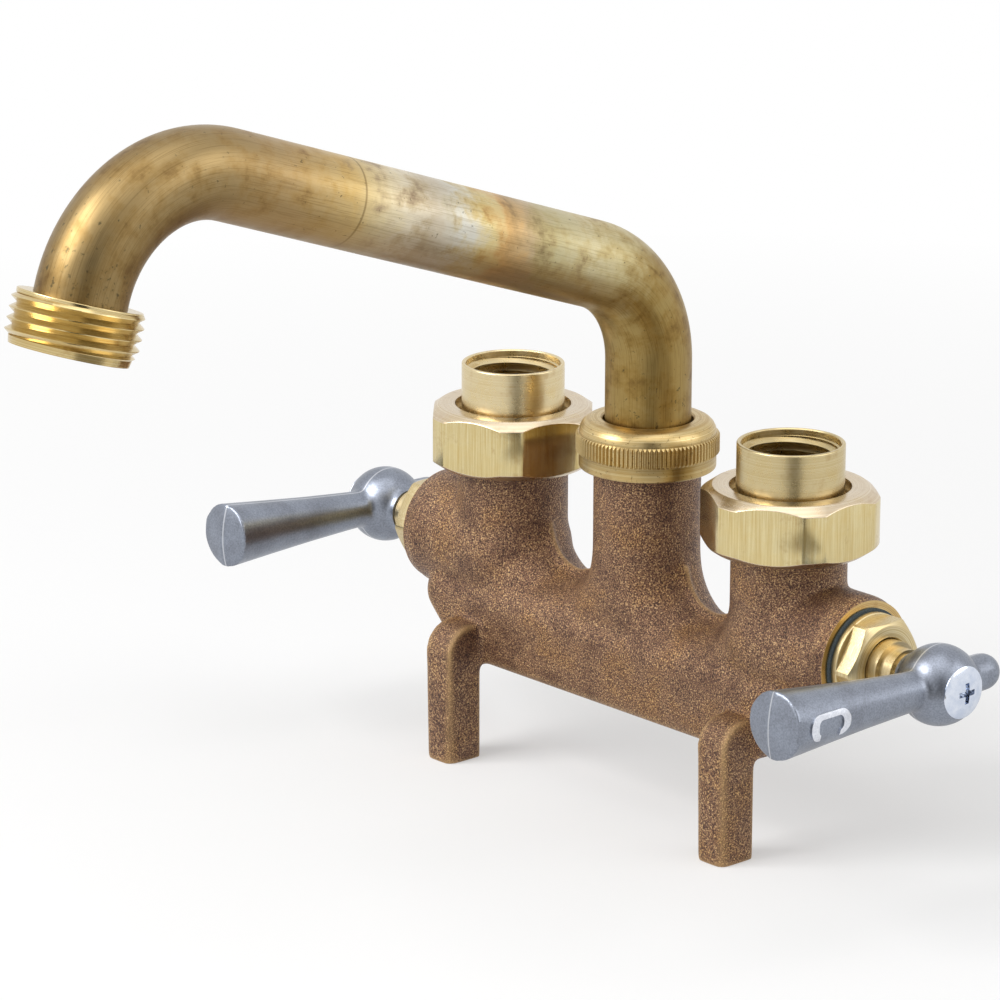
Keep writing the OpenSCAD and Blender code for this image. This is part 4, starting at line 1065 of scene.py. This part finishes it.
def spout_nut():
    """The nut round Z: a domed band that carries the knurl, bored and tapped."""
    foot, top = (corner.z for corner in box_of("spout_nut"))
    nut = turned("nut", [
        (0, foot), (SPOUT_BAND_R, foot, SPOUT_EDGE), (SPOUT_BAND_R, top, SPOUT_DOME_R), (0, top),
    ], steps=2 * KNURL_TEETH)
    combine(nut, knurl(foot + SPOUT_BAND_H), "UNION")
    hole = turned("hole", [
        (0, body_high.z - OVERCUT), (SPOUT_CAVITY_R, body_high.z - OVERCUT),
        (SPOUT_CAVITY_R, top - SPOUT_LIP), (SPOUT_HOLE_R, top - SPOUT_LIP),
        (SPOUT_HOLE_R, top - SPOUT_HOLE_EDGE, SPOUT_HOLE_EDGE),
        (SPOUT_HOLE_R + SPOUT_FLARE, top + SPOUT_FLARE_H), (0, top + SPOUT_FLARE_H),
    ])
    combine(nut, hole, "DIFFERENCE")
    return tapped(nut, SPOUT_THREAD, foot, body_high.z)


# The spout nut's finish darkens its knurl's grooves with painted shade and scatters dark pits over it.
spout_nut_brass = worked_brass(
    "spout_nut_turned_brass", (0, 0, 0), groove_shade_and_pits=True, pale="#d2c092", deep="#b3965f", roughness=0.34,
)
settle(spout_nut(), "spout_nut", spout_nut_brass)

# %% [markdown]
# ## The spout
# The spout is one length of brass tube with two bends. It is drawn the way it was bent: a ring of points is
# pulled up the riser, spun about the first bend's centre, pulled along the run and spun again. Every point
# also keeps its place on the straight tube that it was before, so that the drawn lines, scratches and
# heat colours of the finish can follow the tube round its bends.

# %% The tube's path
TUBE_WALL = 1.0
RISER_TOP = 77.6
RISER_BEND_R = 25.6
RISER_TURN = math.radians(71.1)
RUN_LEN = 105.3
OUTLET_BEND_R = 28.6
OUTLET_TURN = math.radians(91.8)
OUTLET_STUB = 1.2
TUBE_SOCKET = 7.0
TUBE_SIDES = 96
tube_low, tube_high = box_of("spout_tube")
tube_r = tube_high.x
tube_foot = tube_low.z
bend_len = RISER_TURN * RISER_BEND_R
tube_end = bend_len + RUN_LEN + OUTLET_TURN * OUTLET_BEND_R


def heading(turn):
    """The way the tube goes once it has turned forwards from upright, and the side that its bends lean to."""
    return Vector((0, -math.sin(turn), math.cos(turn))), Vector((0, -math.cos(turn), -math.sin(turn)))


riser_top = Vector((0, 0, RISER_TOP))
riser_centre = riser_top + RISER_BEND_R * heading(0)[1]
run_start = riser_centre - RISER_BEND_R * heading(RISER_TURN)[1]
run_end = run_start + RUN_LEN * heading(RISER_TURN)[0]
outlet_centre = run_end + OUTLET_BEND_R * heading(RISER_TURN)[1]
outlet_turn = RISER_TURN + OUTLET_TURN
stub_start = outlet_centre - OUTLET_BEND_R * heading(outlet_turn)[1]
outlet_way = heading(outlet_turn)[0]
hose_start = stub_start + OUTLET_STUB * outlet_way
print("hose outlet starts at", [round(v, 2) for v in hose_start])


# %% Draw the tube
RISER_CUTS, RUN_CUTS, STUB_CUTS = 12, 50, 4
RISER_BEND_STEPS, OUTLET_BEND_STEPS = 28, 36


def pull(step, cuts):
    """Pull the selected ring along a step, in a number of lengths."""
    for _ in range(cuts):
        bpy.ops.mesh.extrude_region_move(TRANSFORM_OT_translate={"value": step / cuts})


def spout_tube():
    """The outer skin of the tube, pulled and spun along its path."""
    bpy.ops.object.select_all(action="DESELECT")
    bpy.ops.mesh.primitive_circle_add(vertices=TUBE_SIDES, radius=tube_r)
    edit(place(named("tube"), move=(0, 0, tube_foot)))
    pull(Vector((0, 0, RISER_TOP - tube_foot)), RISER_CUTS)
    bpy.ops.mesh.spin(steps=RISER_BEND_STEPS, angle=-RISER_TURN, axis=(1, 0, 0), center=riser_centre)
    pull(run_end - run_start, RUN_CUTS)
    bpy.ops.mesh.spin(steps=OUTLET_BEND_STEPS, angle=-OUTLET_TURN, axis=(1, 0, 0), center=outlet_centre)
    pull(outlet_way * (OUTLET_STUB + TUBE_SOCKET), STUB_CUTS)
    return closed_up("tube")


# %% Straighten the tube again
def straightened(point):
    """Where a point of the bent tube was on the straight one: across, up from its axis, and along it."""
    to_riser = point - riser_centre
    turn = math.atan2(to_riser.z, to_riser.y)
    to_run = point - run_start
    to_outlet = point - outlet_centre
    if point.z < RISER_TOP and point.y > riser_centre.y:
        return point.x, point.y, point.z - RISER_TOP
    if turn < RISER_TURN:
        return point.x, math.hypot(to_riser.y, to_riser.z) - RISER_BEND_R, turn * RISER_BEND_R
    along = to_run.dot(heading(RISER_TURN)[0])
    if along < RUN_LEN:
        return point.x, -to_run.dot(heading(RISER_TURN)[1]), bend_len + along
    turn = math.atan2(to_outlet.z, to_outlet.y) - RISER_TURN
    out = math.hypot(to_outlet.y, to_outlet.z) - OUTLET_BEND_R
    return point.x, out, bend_len + RUN_LEN + turn * OUTLET_BEND_R


tube = spout_tube()
print("tube:", len(tube.data.polygons), [round(v, 1) for v in tube.dimensions])

# %% Heat colours of the tube
# Bent, soldered and never polished: the tube is olive where it tarnished, and straw, orange and grey where
# the torch heated it. Its underside is darkened with painted shade. A ring is left where the bending tool
# gripped it, fine scratches run along it, drawn coarser than real ones so that they show, and dark spots
# gather near its two ends. The places of tints, ring and the shade's fade are counted in millimetres from the
# end of the first bend, and those of the foot's spots from its start.
SCRATCH_WIDTH = 0.22
SCRATCH_RELIEF = 0.06
BLOTCH_SIZE = 6.0
SPOT_SIZE = 1.1
FOOT_SPOTS = (-22.0, 2.0)
END_SPOTS = 12
TINT_WANDER = 5.0
HEAT_CREASE = 75.5
CREASE_CORE, CREASE_REACH = 0.1, 0.4
# Painted shade on the tube's underside: the heights below the axis over which it deepens, and where along the
# run it fades in.
UNDERSIDE_SHADE = (-1.0, -8.5)
UNDERSIDE_SHADE_FADE = (-12, 8)
HEAT_TINTS = [
    (-28, "#9c8450"), (-12, "#a08a56"), (0, "#c0b286"), (10, "#c9be98"), (21, "#bdb38c"), (28, "#bda884"),
    (35, "#cda872"), (41, "#d2c08c"), (49, "#cfccc0"), (57, "#c4b8a2"), (65, "#dacfb6"), (72, "#d9c9a0"),
    (78, "#cdb27a"), (85, "#bfa573"), (96, "#ae9468"), (114, "#98825a"), (150, "#907a52"),
]


def heat_colours(tree, along, blotch):
    """The tints that heat left along the tube, with wandering borders, under a patchy patina."""
    wander = node(tree, "MapRange", {
        "Value": blotch, "From Min": 0.3, "From Max": 0.7, "To Min": -TINT_WANDER, "To Max": TINT_WANDER,
    }).outputs["Result"]
    heated = node(tree, "Math", {0: along, 1: wander}, operation="ADD").outputs["Value"]
    first, last = HEAT_TINTS[0][0], HEAT_TINTS[-1][0]
    place_on_run = node(tree, "MapRange", {
        "Value": heated, "From Min": first + bend_len, "From Max": last + bend_len,
    }).outputs["Result"]
    tint = node(tree, "ValToRGB", {"Fac": place_on_run}, stops=[
        ((s - first) / (last - first), colour) for s, colour in HEAT_TINTS
    ]).outputs["Color"]
    patina = node(tree, "ValToRGB", {"Fac": blotch}, stops=[
        (0.3, "#b09a80"), (0.42, "#ece2cc"), (0.55, "#ffffff"),
    ]).outputs["Color"]
    return node(tree, "Mix", {
        0: 0.75, 6: tint, 7: patina,
    }, data_type="RGBA", blend_type="MULTIPLY").outputs[2]


# %% Spots, ring and painted shade on the tube's underside
def spotted(tree, drawn, along, colour):
    """A colour with dark spots, most of them near the tube's two ends."""
    speck = node(tree, "TexNoise", {
        "Vector": drawn, "Scale": 1 / SPOT_SIZE, "Detail": 3.0, "Roughness": 0.6,
    }).outputs["Fac"]
    foot = node(tree, "MapRange", {
        "Value": along, "From Min": FOOT_SPOTS[0], "From Max": FOOT_SPOTS[1], "To Min": 0.08, "To Max": 0.0,
    }).outputs["Result"]
    end = node(tree, "MapRange", {
        "Value": along, "From Min": tube_end - END_SPOTS, "From Max": tube_end, "To Min": 0.0, "To Max": 0.07,
    }).outputs["Result"]
    gathered = node(tree, "Math", {0: foot, 1: end}, operation="ADD").outputs["Value"]
    spotty = node(tree, "Math", {0: speck, 1: gathered}, operation="ADD").outputs["Value"]
    spots = node(tree, "MapRange", {
        "Value": spotty, "From Min": 0.66, "From Max": 0.74, "To Min": 0.0, "To Max": 0.75,
    }).outputs["Result"]
    return node(tree, "Mix", {0: spots, 6: colour, 7: linear("#4a4330")}, data_type="RGBA").outputs[2]


def ringed(tree, along, colour):
    """A colour with the dark ring where the bending tool gripped the tube."""
    from_crease = node(tree, "Math", {
        0: along, 1: bend_len + HEAT_CREASE,
    }, operation="SUBTRACT").outputs["Value"]
    off_crease = node(tree, "Math", {0: from_crease}, operation="ABSOLUTE").outputs["Value"]
    crease = node(tree, "MapRange", {
        "Value": off_crease, "From Min": CREASE_CORE, "From Max": CREASE_REACH, "To Min": 0.6, "To Max": 0.0,
    }).outputs["Result"]
    return node(tree, "Mix", {0: crease, 6: colour, 7: linear("#6f5a36")}, data_type="RGBA").outputs[2]


def shaded_underside(tree, up, along, colour):
    """A colour with painted shade, a duller brown, on the underside of the tube's run."""
    below = node(tree, "MapRange", {
        "Value": up, "From Min": UNDERSIDE_SHADE[0], "From Max": UNDERSIDE_SHADE[1], "To Min": 0.0, "To Max": 0.75,
    }).outputs["Result"]
    on_run = node(tree, "MapRange", {
        "Value": along, "From Min": bend_len + UNDERSIDE_SHADE_FADE[0], "From Max": bend_len + UNDERSIDE_SHADE_FADE[1],
    }).outputs["Result"]
    shaded = node(tree, "Math", {0: below, 1: on_run}, operation="MULTIPLY").outputs["Value"]
    return node(tree, "Mix", {0: shaded, 6: colour, 7: linear("#86683c")}, data_type="RGBA").outputs[2]


# %% Put the tube's brass together
def tarnished_brass():
    """The tube's finish, laid out on the straight tube that each point of the mesh remembers."""
    finish, tree, shader, _ = finish_named("tarnished_tube_brass", 1.0, 0.34)
    drawn = node(tree, "Attribute", attribute_name="straight_tube").outputs["Vector"]
    stretched = node(tree, "VectorMath", {0: drawn, 1: (1, 1, 0.025)}, operation="MULTIPLY").outputs["Vector"]
    scratches = node(tree, "TexNoise", {
        "Vector": stretched, "Scale": 1 / SCRATCH_WIDTH, "Detail": 2.0, "Roughness": 0.5,
    }).outputs["Fac"]
    blotch = node(tree, "TexNoise", {
        "Vector": drawn, "Scale": 1 / BLOTCH_SIZE, "Detail": 6.0, "Roughness": 0.62,
    }).outputs["Fac"]
    _, up, along = node(tree, "SeparateXYZ", {0: drawn}).outputs
    lines = node(tree, "ValToRGB", {"Fac": scratches}, stops=[
        (0.34, "#9c8c6c"), (0.5, "#ffffff"),
    ]).outputs["Color"]
    lined = node(tree, "Mix", {
        0: 0.3, 6: heat_colours(tree, along, blotch), 7: lines,
    }, data_type="RGBA", blend_type="MULTIPLY").outputs[2]
    marked = ringed(tree, along, spotted(tree, drawn, along, lined))
    # Painted shade is laid over the underside of the run.
    tree.links.new(shaded_underside(tree, up, along, marked), shader.inputs["Base Color"])
    gloss = node(tree, "MapRange", {
        "Value": blotch, "From Min": 0.3, "From Max": 0.7, "To Min": 0.46, "To Max": 0.34,
    }).outputs["Result"]
    tree.links.new(gloss, shader.inputs["Roughness"])
    bump = node(tree, "Bump", {"Height": scratches, "Strength": 0.2, "Distance": SCRATCH_RELIEF * MM})
    tree.links.new(bump.outputs["Normal"], shader.inputs["Normal"])
    return finish


# %% Finish the tube
TUBE_EDGE = 0.2
change(tube, "SOLIDIFY", thickness=TUBE_WALL, offset=-1, use_even_offset=True)
soften(tube, TUBE_EDGE, angle=60)
drawn_places = tube.data.attributes.new("straight_tube", "FLOAT_VECTOR", "POINT")
for point in tube.data.vertices:
    drawn_places.data[point.index].vector = straightened(point.co)
settle(tube, "spout_tube", tarnished_brass())

# %% [markdown]
# The hose thread is soldered on the end of the tube. Its crests are sharp and few, so a true helix is worth
# drawing: a short zigzag goes round the axis and climbs by one pitch a turn, and the ends are turned off.

# %% Hose outlet
HOSE_THREAD = {"crest_r": 13.49, "depth": 1.35, "pitch": 2.209}
HOSE_LEN = 11.045
HOSE_BORE_R = 8.25
HOSE_SOCKET_R = 9.565
HOSE_LIP_R = 12.5
HOSE_LIP_H = 1.5
HOSE_LIP_TAPER = 0.3
HOSE_LIP_EDGE = 0.25
HOSE_COLLAR_R = 12.75
HOSE_COLLAR_H = 0.9
HOSE_COLLAR_EDGE = 0.2
HOSE_RUN_IN, HOSE_RUN_OUT = 0.5, 0.8
HOSE_MOUTH = 0.4


def hose_outlet():
    """The outlet along Z: a thread with turned ends, a collar and a lip, bored out."""
    outlet = threaded("outlet", length=HOSE_LEN, land=0.07, steps=128, **HOSE_THREAD)
    crest_r = HOSE_THREAD["crest_r"]
    lip_z = HOSE_LEN - HOSE_LIP_H
    lip_end_r = HOSE_LIP_R - HOSE_LIP_TAPER
    ends = turned("ends", [
        (0, 0), (HOSE_COLLAR_R - HOSE_COLLAR_EDGE, 0), (HOSE_COLLAR_R, HOSE_COLLAR_EDGE),
        (crest_r, HOSE_COLLAR_H + HOSE_RUN_IN), (crest_r, lip_z - HOSE_RUN_OUT),
        (HOSE_LIP_R, lip_z), (lip_end_r, HOSE_LEN), (0, HOSE_LEN),
    ], steps=160)
    combine(outlet, ends, "INTERSECT")
    collar = turned("collar", [
        (0, 0), (HOSE_COLLAR_R, 0, HOSE_COLLAR_EDGE), (HOSE_COLLAR_R, HOSE_COLLAR_H), (0, HOSE_COLLAR_H),
    ], steps=160)
    lip = turned("lip", [
        (0, lip_z), (HOSE_LIP_R, lip_z), (lip_end_r, HOSE_LEN, HOSE_LIP_EDGE), (0, HOSE_LEN),
    ], steps=160)
    for ring in (collar, lip):
        combine(outlet, ring, "UNION")
    bore = turned("bore", [
        (0, -OVERCUT), (HOSE_SOCKET_R, -OVERCUT), (HOSE_SOCKET_R, TUBE_SOCKET), (HOSE_BORE_R, TUBE_SOCKET),
        (HOSE_BORE_R, HOSE_LEN - HOSE_MOUTH), (HOSE_BORE_R + 2 * HOSE_MOUTH, HOSE_LEN + HOSE_MOUTH),
        (0, HOSE_LEN + HOSE_MOUTH),
    ])
    return combine(outlet, bore, "DIFFERENCE")


outlet_turn_to = outlet_way.to_track_quat("Z", "Y").to_euler()
outlet = place(hose_outlet(), outlet_turn_to, hose_start)
hose_brass = worked_brass(
    "hose_thread_turned_brass", hose_start, outlet_turn_to, pale="#d9c89c", deep="#c0a66a",
)
settle(outlet, "hose_outlet", hose_brass)

# %% [markdown]
# ## The valves
# A bonnet closes each chamber: a flange and a hexagon outside, a slotted sleeve inside. Turned pieces that
# lie along the faucet are drawn upright like the others and then laid down, with their axis sideways.

# %% Bonnets
BONNET_THREAD_R = 9.8
BONNET_THREAD_LEN = 7.5
BONNET_FLANGE_R = 10.8
BONNET_FLANGE_EDGE = 0.25
BONNET_AF = 19.05
BONNET_CHAMFER = 1.0
BONNET_CHAMFER_SLOPE = 1.8
HEXAGON_EDGE = 0.18
HEXAGON_LAP, SLEEVE_LAP = 0.5, 0.2
SLEEVE_R = 8.5
SLEEVE_EDGE = 0.3
SLEEVE_BORE_R = 7.6
SPINDLE_BORE_R = 6.35
SPINDLE_MOUTH = 0.3
THRUST_SHOULDER = 4.25
SLOT_W = 4.0
SLOT_LEN = 10.2
GASKET_T = 0.5
FLANGE_T = 1.6


def bonnet(start, end):
    """A bonnet along Z, from its sleeve's end to its outer face."""
    face = chamber_end + GASKET_T
    hexagon_start = face + FLANGE_T
    shoulder = chamber_end - THRUST_SHOULDER
    head = turned("head", [
        (0, face), (BONNET_FLANGE_R, face, BONNET_FLANGE_EDGE),
        (BONNET_FLANGE_R, hexagon_start, BONNET_FLANGE_EDGE), (0, hexagon_start),
    ])
    blank = turned("blank", [
        (0, hexagon_start - HEXAGON_LAP), (BONNET_FLANGE_R, hexagon_start - HEXAGON_LAP),
        (BONNET_FLANGE_R, end - BONNET_CHAMFER),
        (BONNET_FLANGE_R - BONNET_CHAMFER_SLOPE * BONNET_CHAMFER, end), (0, end),
    ], steps=144)
    hexagon = rod(BONNET_AF / math.sqrt(3), (0, 0, hexagon_start - OVERCUT), (0, 0, end + OVERCUT), sides=6)
    soften(combine(blank, hexagon, "INTERSECT"), HEXAGON_EDGE, angle=24)
    sleeve = turned("sleeve", [
        (0, start), (SLEEVE_R, start, SLEEVE_EDGE), (SLEEVE_R, chamber_end - BONNET_BORE_LEN),
        (BONNET_THREAD_R, chamber_end - BONNET_THREAD_LEN),
        (BONNET_THREAD_R, face + SLEEVE_LAP), (0, face + SLEEVE_LAP),
    ])
    for part in (blank, sleeve):
        combine(head, part, "UNION")
    bore = turned("bore", [
        (0, start - OVERCUT), (SLEEVE_BORE_R, start - OVERCUT), (SLEEVE_BORE_R, shoulder),
        (SPINDLE_BORE_R, shoulder), (SPINDLE_BORE_R, end - SPINDLE_MOUTH),
        (SPINDLE_BORE_R + 2 * SPINDLE_MOUTH, end + SPINDLE_MOUTH), (0, end + SPINDLE_MOUTH),
    ])
    reach, half = BONNET_THREAD_R, SLOT_W / 2
    slot = block((-reach, -half, start - OVERCUT), (reach, half, start + SLOT_LEN))
    for cutter in (bore, slot):
        combine(head, cutter, "DIFFERENCE")
    return head


bonnet_start, bonnet_end = (corner.x for corner in box_of("cold_bonnet"))
cold_bonnet = place(bonnet(bonnet_start, bonnet_end), LAID_DOWN, (0, 0, valve_z))
hot_bonnet = place(copy_of(cold_bonnet, "hot_bonnet"), (0, 0, math.pi))
bonnet_brass = worked_brass(
    "bonnet_turned_brass", (0, 0, valve_z), LAID_DOWN, pale="#d8caa4", deep="#bda87a", roughness=0.36,
)
for side, piece in (("cold", cold_bonnet), ("hot", hot_bonnet)):
    settle(piece, side + "_bonnet", bonnet_brass)

# %% [markdown]
# ## The handles
# The levers were die-cast in zinc. The two halves of the die met in a plane through lever, ball and tail, and
# left a fine parting line there, which the finish paints bright as a painted highlight. Simple solids are
# melted into one skin by a remesh, as the casting was. The roof-shaped end is cut next and a finer smoothing
# only breaks its edges. The square hole for the spindle and the flat for the screw are cut last, because they
# have to stay sharp.

# %% Handles
HUB_R = 8.8
HUB_FLAT = 6.8
BOSS_R = 5.0
LEVER_LEN = 49.4
LEVER_WAIST = [(3.8, 0), (4.45, 12), (5.25, 24), (6.25, 36), (7.5, 50)]
LEVER_SPARE_R, LEVER_SPARE = 7.6, 4
LEVER_TILT = math.radians(2)
LEVER_ROOF = math.radians(9)
TIP_DOME_R = 24.0
TIP_BLOCK = Vector((15, 8, 15))
TAIL_BALL_R = 4.0
DRIVE_W = 6.08
SCREW_HOLE_R = 2.04
HANDLE_VOXEL = 0.32
FILLET_SMOOTHING = 48
EDGE_SMOOTHING = 3
handle_low, handle_high = box_of("cold_handle")
boss_x, hub_face = handle_low.x, handle_high.x
hub_x = hub_face - HUB_FLAT
hub = Vector((hub_x, 0, valve_z))
lever_way = Vector((0, -math.cos(LEVER_TILT), math.sin(LEVER_TILT)))


def handle():
    """The cold handle, along the way its lever points."""
    spare_end = LEVER_LEN + LEVER_SPARE
    lever = turned("lever", [(0, 0), *LEVER_WAIST, (LEVER_SPARE_R, spare_end), (0, spare_end)])
    place(lever, (math.pi / 2 - LEVER_TILT, 0, 0), hub)
    tail = hub + Vector((0, handle_high.y - TAIL_BALL_R, 0))
    boss = Vector((boss_x - OVERCUT, 0, valve_z))
    parts = [lever, ball(HUB_R, hub), rod(BOSS_R, boss, hub)]
    parts += [rod(TAIL_BALL_R, hub, tail), ball(TAIL_BALL_R, tail)]
    skin = join(parts, "handle")
    change(skin, "REMESH", mode="VOXEL", voxel_size=HANDLE_VOXEL, adaptivity=0)
    change(skin, "SMOOTH", factor=0.5, iterations=FILLET_SMOOTHING)
    tip = hub + lever_way * LEVER_LEN
    for way in (-1, 1):
        outwards = (lever_way + Vector((way * math.tan(LEVER_ROOF), 0, 0))).normalized()
        across = outwards.cross((0, 0, 1)) * 2 * TIP_DOME_R
        middle = tip - outwards * TIP_DOME_R
        beyond = block(tip - TIP_BLOCK, tip + TIP_BLOCK)
        facet = rod(TIP_DOME_R, middle - across, middle + across, sides=192)
        combine(skin, combine(beyond, facet, "DIFFERENCE"), "DIFFERENCE")
    change(skin, "REMESH", mode="VOXEL", voxel_size=HANDLE_VOXEL, adaptivity=0)
    change(skin, "SMOOTH", factor=0.5, iterations=EDGE_SMOOTHING)
    trim(skin, (hub_face, 0, 0), (1, 0, 0))
    return trim(skin, (boss_x, 0, 0), (-1, 0, 0))


def drilled(skin):
    """Cut the square hole for the spindle and the round one for the screw."""
    drive_end = hub_x + HUB_FLAT / 2
    half = Vector((0, DRIVE_W / 2, DRIVE_W / 2))
    axis = Vector((0, 0, valve_z))
    drive = block(Vector((boss_x - OVERCUT, 0, 0)) + axis - half, Vector((drive_end, 0, 0)) + axis + half)
    hole = rod(SCREW_HOLE_R, (drive_end - OVERCUT, 0, valve_z), (hub_face + OVERCUT, 0, valve_z))
    for cutter in (drive, hole):
        combine(skin, cutter, "DIFFERENCE")
    return skin


handle_skin = handle()
cold_handle = drilled(copy_of(handle_skin, "cold_handle"))
hot_handle = mirrored(cold_handle, "hot_handle")
print("handle:", len(cold_handle.data.polygons), "faces, hub at", round(hub_x, 2))

# %% [markdown]
# A raised letter on the outer side of each lever tells hot from cold. Each is made as a tall prism of plain
# strokes and cut off where a slightly swollen copy of the lever ends, so that its top follows the lever.

# %% Letters on the levers
LETTER_AT = 38.4
LETTER_RISE = 0.35
STROKE_W, STROKE_H = 1.15, 2.2
STROKE_TIP = 0.8
LETTER_W, LETTER_H = 5.6, 12.2
CORNER_R = 2.6
CROSS_INSET = 0.2
C_MOUTH_FROM, C_MOUTH_BEYOND = 1, 5
PRISM_LEN = 12


def stroke(left, right, foot, top):
    """A stroke of a letter as a tall prism."""
    return block((left, foot, 0), (right, top, PRISM_LEN))


def letter_h():
    """An H of three strokes."""
    reach, half = LETTER_W / 2, LETTER_H / 2
    posts = [stroke(-reach, -reach + STROKE_W, -half, half), stroke(reach - STROKE_W, reach, -half, half)]
    letter = stroke(-reach + CROSS_INSET, reach - CROSS_INSET, -STROKE_H / 2, STROKE_H / 2)
    for post in posts:
        combine(letter, post, "UNION")
    return letter


def letter_c():
    """A C with a straight back: a rounded block, without its rounded inside and its mouth."""
    reach, half = LETTER_W / 2, LETTER_H / 2
    letter = round_edges(stroke(-reach, reach, -half, half), upright, CORNER_R)
    low = Vector((-reach + STROKE_W, -half + STROKE_H, -OVERCUT))
    high = Vector((reach - STROKE_W, half - STROKE_H, PRISM_LEN + OVERCUT))
    combine(letter, round_edges(block(low, high), upright, CORNER_R / 2), "DIFFERENCE")
    mouth_low = low + Vector((C_MOUTH_FROM, STROKE_TIP, 0))
    mouth_high = high + Vector((C_MOUTH_BEYOND, -STROKE_TIP, 0))
    return combine(letter, block(mouth_low, mouth_high), "DIFFERENCE")


def raised(prism, name):
    """Lay a letter on the cold lever's outer side, and cut it to the relief that shows."""
    place(prism, LAID_DOWN)
    place(prism, (-LEVER_TILT, 0, 0), hub + lever_way * LETTER_AT)
    swollen = copy_of(handle_skin, "swollen")
    change(swollen, "DISPLACE", strength=LETTER_RISE, mid_level=0)
    combine(prism, swollen, "INTERSECT")
    prism.name = prism.data.name = name
    return prism


cold_letter = raised(letter_c(), "cold_letter")
hot_letter = mirrored(raised(letter_h(), "hot_letter_form"), "hot_letter")
bpy.data.objects.remove(bpy.data.objects["hot_letter_form"])
bpy.data.objects.remove(handle_skin)
for side, handle_piece, letter in (("cold", cold_handle, cold_letter), ("hot", hot_handle, hot_letter)):
    settle(handle_piece, side + "_handle", zinc, crease=60)
    shrink(letter, bright_zinc)
    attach(letter, side + "_lever")
    print(letter.name, "on", side + "_lever", "faces:", len(letter.data.polygons))

# %% [markdown]
# A domed screw with a cross recess holds each handle on its spindle. The dome is an arc that is spun, and the
# recess two crossed bars that are cut out of it.

# %% Handle screws
SCREW_R = 2.0
SCREW_TIP = 0.3
HEAD_EDGE = 0.12
DOME_SHARE = 0.8
DOME_STEPS = 14
RECESS_SPAN = 4.5
RECESS_W = 1.15
RECESS_DEPTH = 1.6
RECESS_EDGE = 0.1
screw_start, screw_top = (corner.x for corner in box_of("cold_handle_screw"))
head_r = box_of("cold_handle_screw")[1].y


def handle_screw():
    """The screw along Z, at heights that are places along X once it is laid down."""
    head_h = screw_top - hub_face
    rise = DOME_SHARE * head_h
    dome_r = (head_r ** 2 + rise ** 2) / (2 * rise)
    widest = math.asin(head_r / dome_r)
    dome = []
    for step in range(DOME_STEPS, -1, -1):
        angle = widest * step / DOME_STEPS
        dome.append((dome_r * math.sin(angle), screw_top - dome_r + dome_r * math.cos(angle)))
    screw = turned("screw", [
        (0, screw_start), (SCREW_R - SCREW_TIP, screw_start), (SCREW_R, screw_start + SCREW_TIP),
        (SCREW_R, hub_face), (head_r, hub_face, HEAD_EDGE), *dome,
    ], steps=96)
    for span, width in ((RECESS_SPAN, RECESS_W), (RECESS_W, RECESS_SPAN)):
        low = (-span / 2, -width / 2, screw_top - RECESS_DEPTH)
        combine(screw, block(low, (span / 2, width / 2, screw_top + OVERCUT)), "DIFFERENCE")
    return soften(screw, RECESS_EDGE, angle=40)


cold_screw = place(handle_screw(), LAID_DOWN, (0, 0, valve_z))
hot_screw = mirrored(cold_screw, "hot_screw")
for side, piece in (("cold", cold_screw), ("hot", hot_screw)):
    settle(piece, side + "_handle_screw", plating)

# %% [markdown]
# ## What stays as it is
# The spindles, seals, seats and plungers are mostly hidden, and their solids are exact already. They stay,
# and get the finish of their material.

# %% Finish the solids that stay
valve_brass = worked_brass(
    "spindle_turned_brass", (0, 0, valve_z), LAID_DOWN, pale="#dccda8", deep="#c6b084", roughness=0.3,
)
collar_brass = worked_brass("collar_turned_brass", (0, 0, 0))
finish_of_slot = {
    "turned_brass": valve_brass, "plated_steel": plating, "seal_rubber": rubber,
    "gasket_fibre": fibre, "bearing_nylon": nylon,
}
for name, solid in frame["nodes"].items():
    if name in dressed:
        continue
    solid.data.materials.clear()
    solid.data.materials.append(collar_brass if name == "spout_collar" else finish_of_slot[SLOT_OF[name]])
    print("kept:", name, "in", solid.data.materials[0].name)

# %% Print the sizes and finish
size = {
    "cad_box": [list(corner) for corner in CAD_BOX],
    "dressed_box": [list(corner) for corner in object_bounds()],
}
print(size)
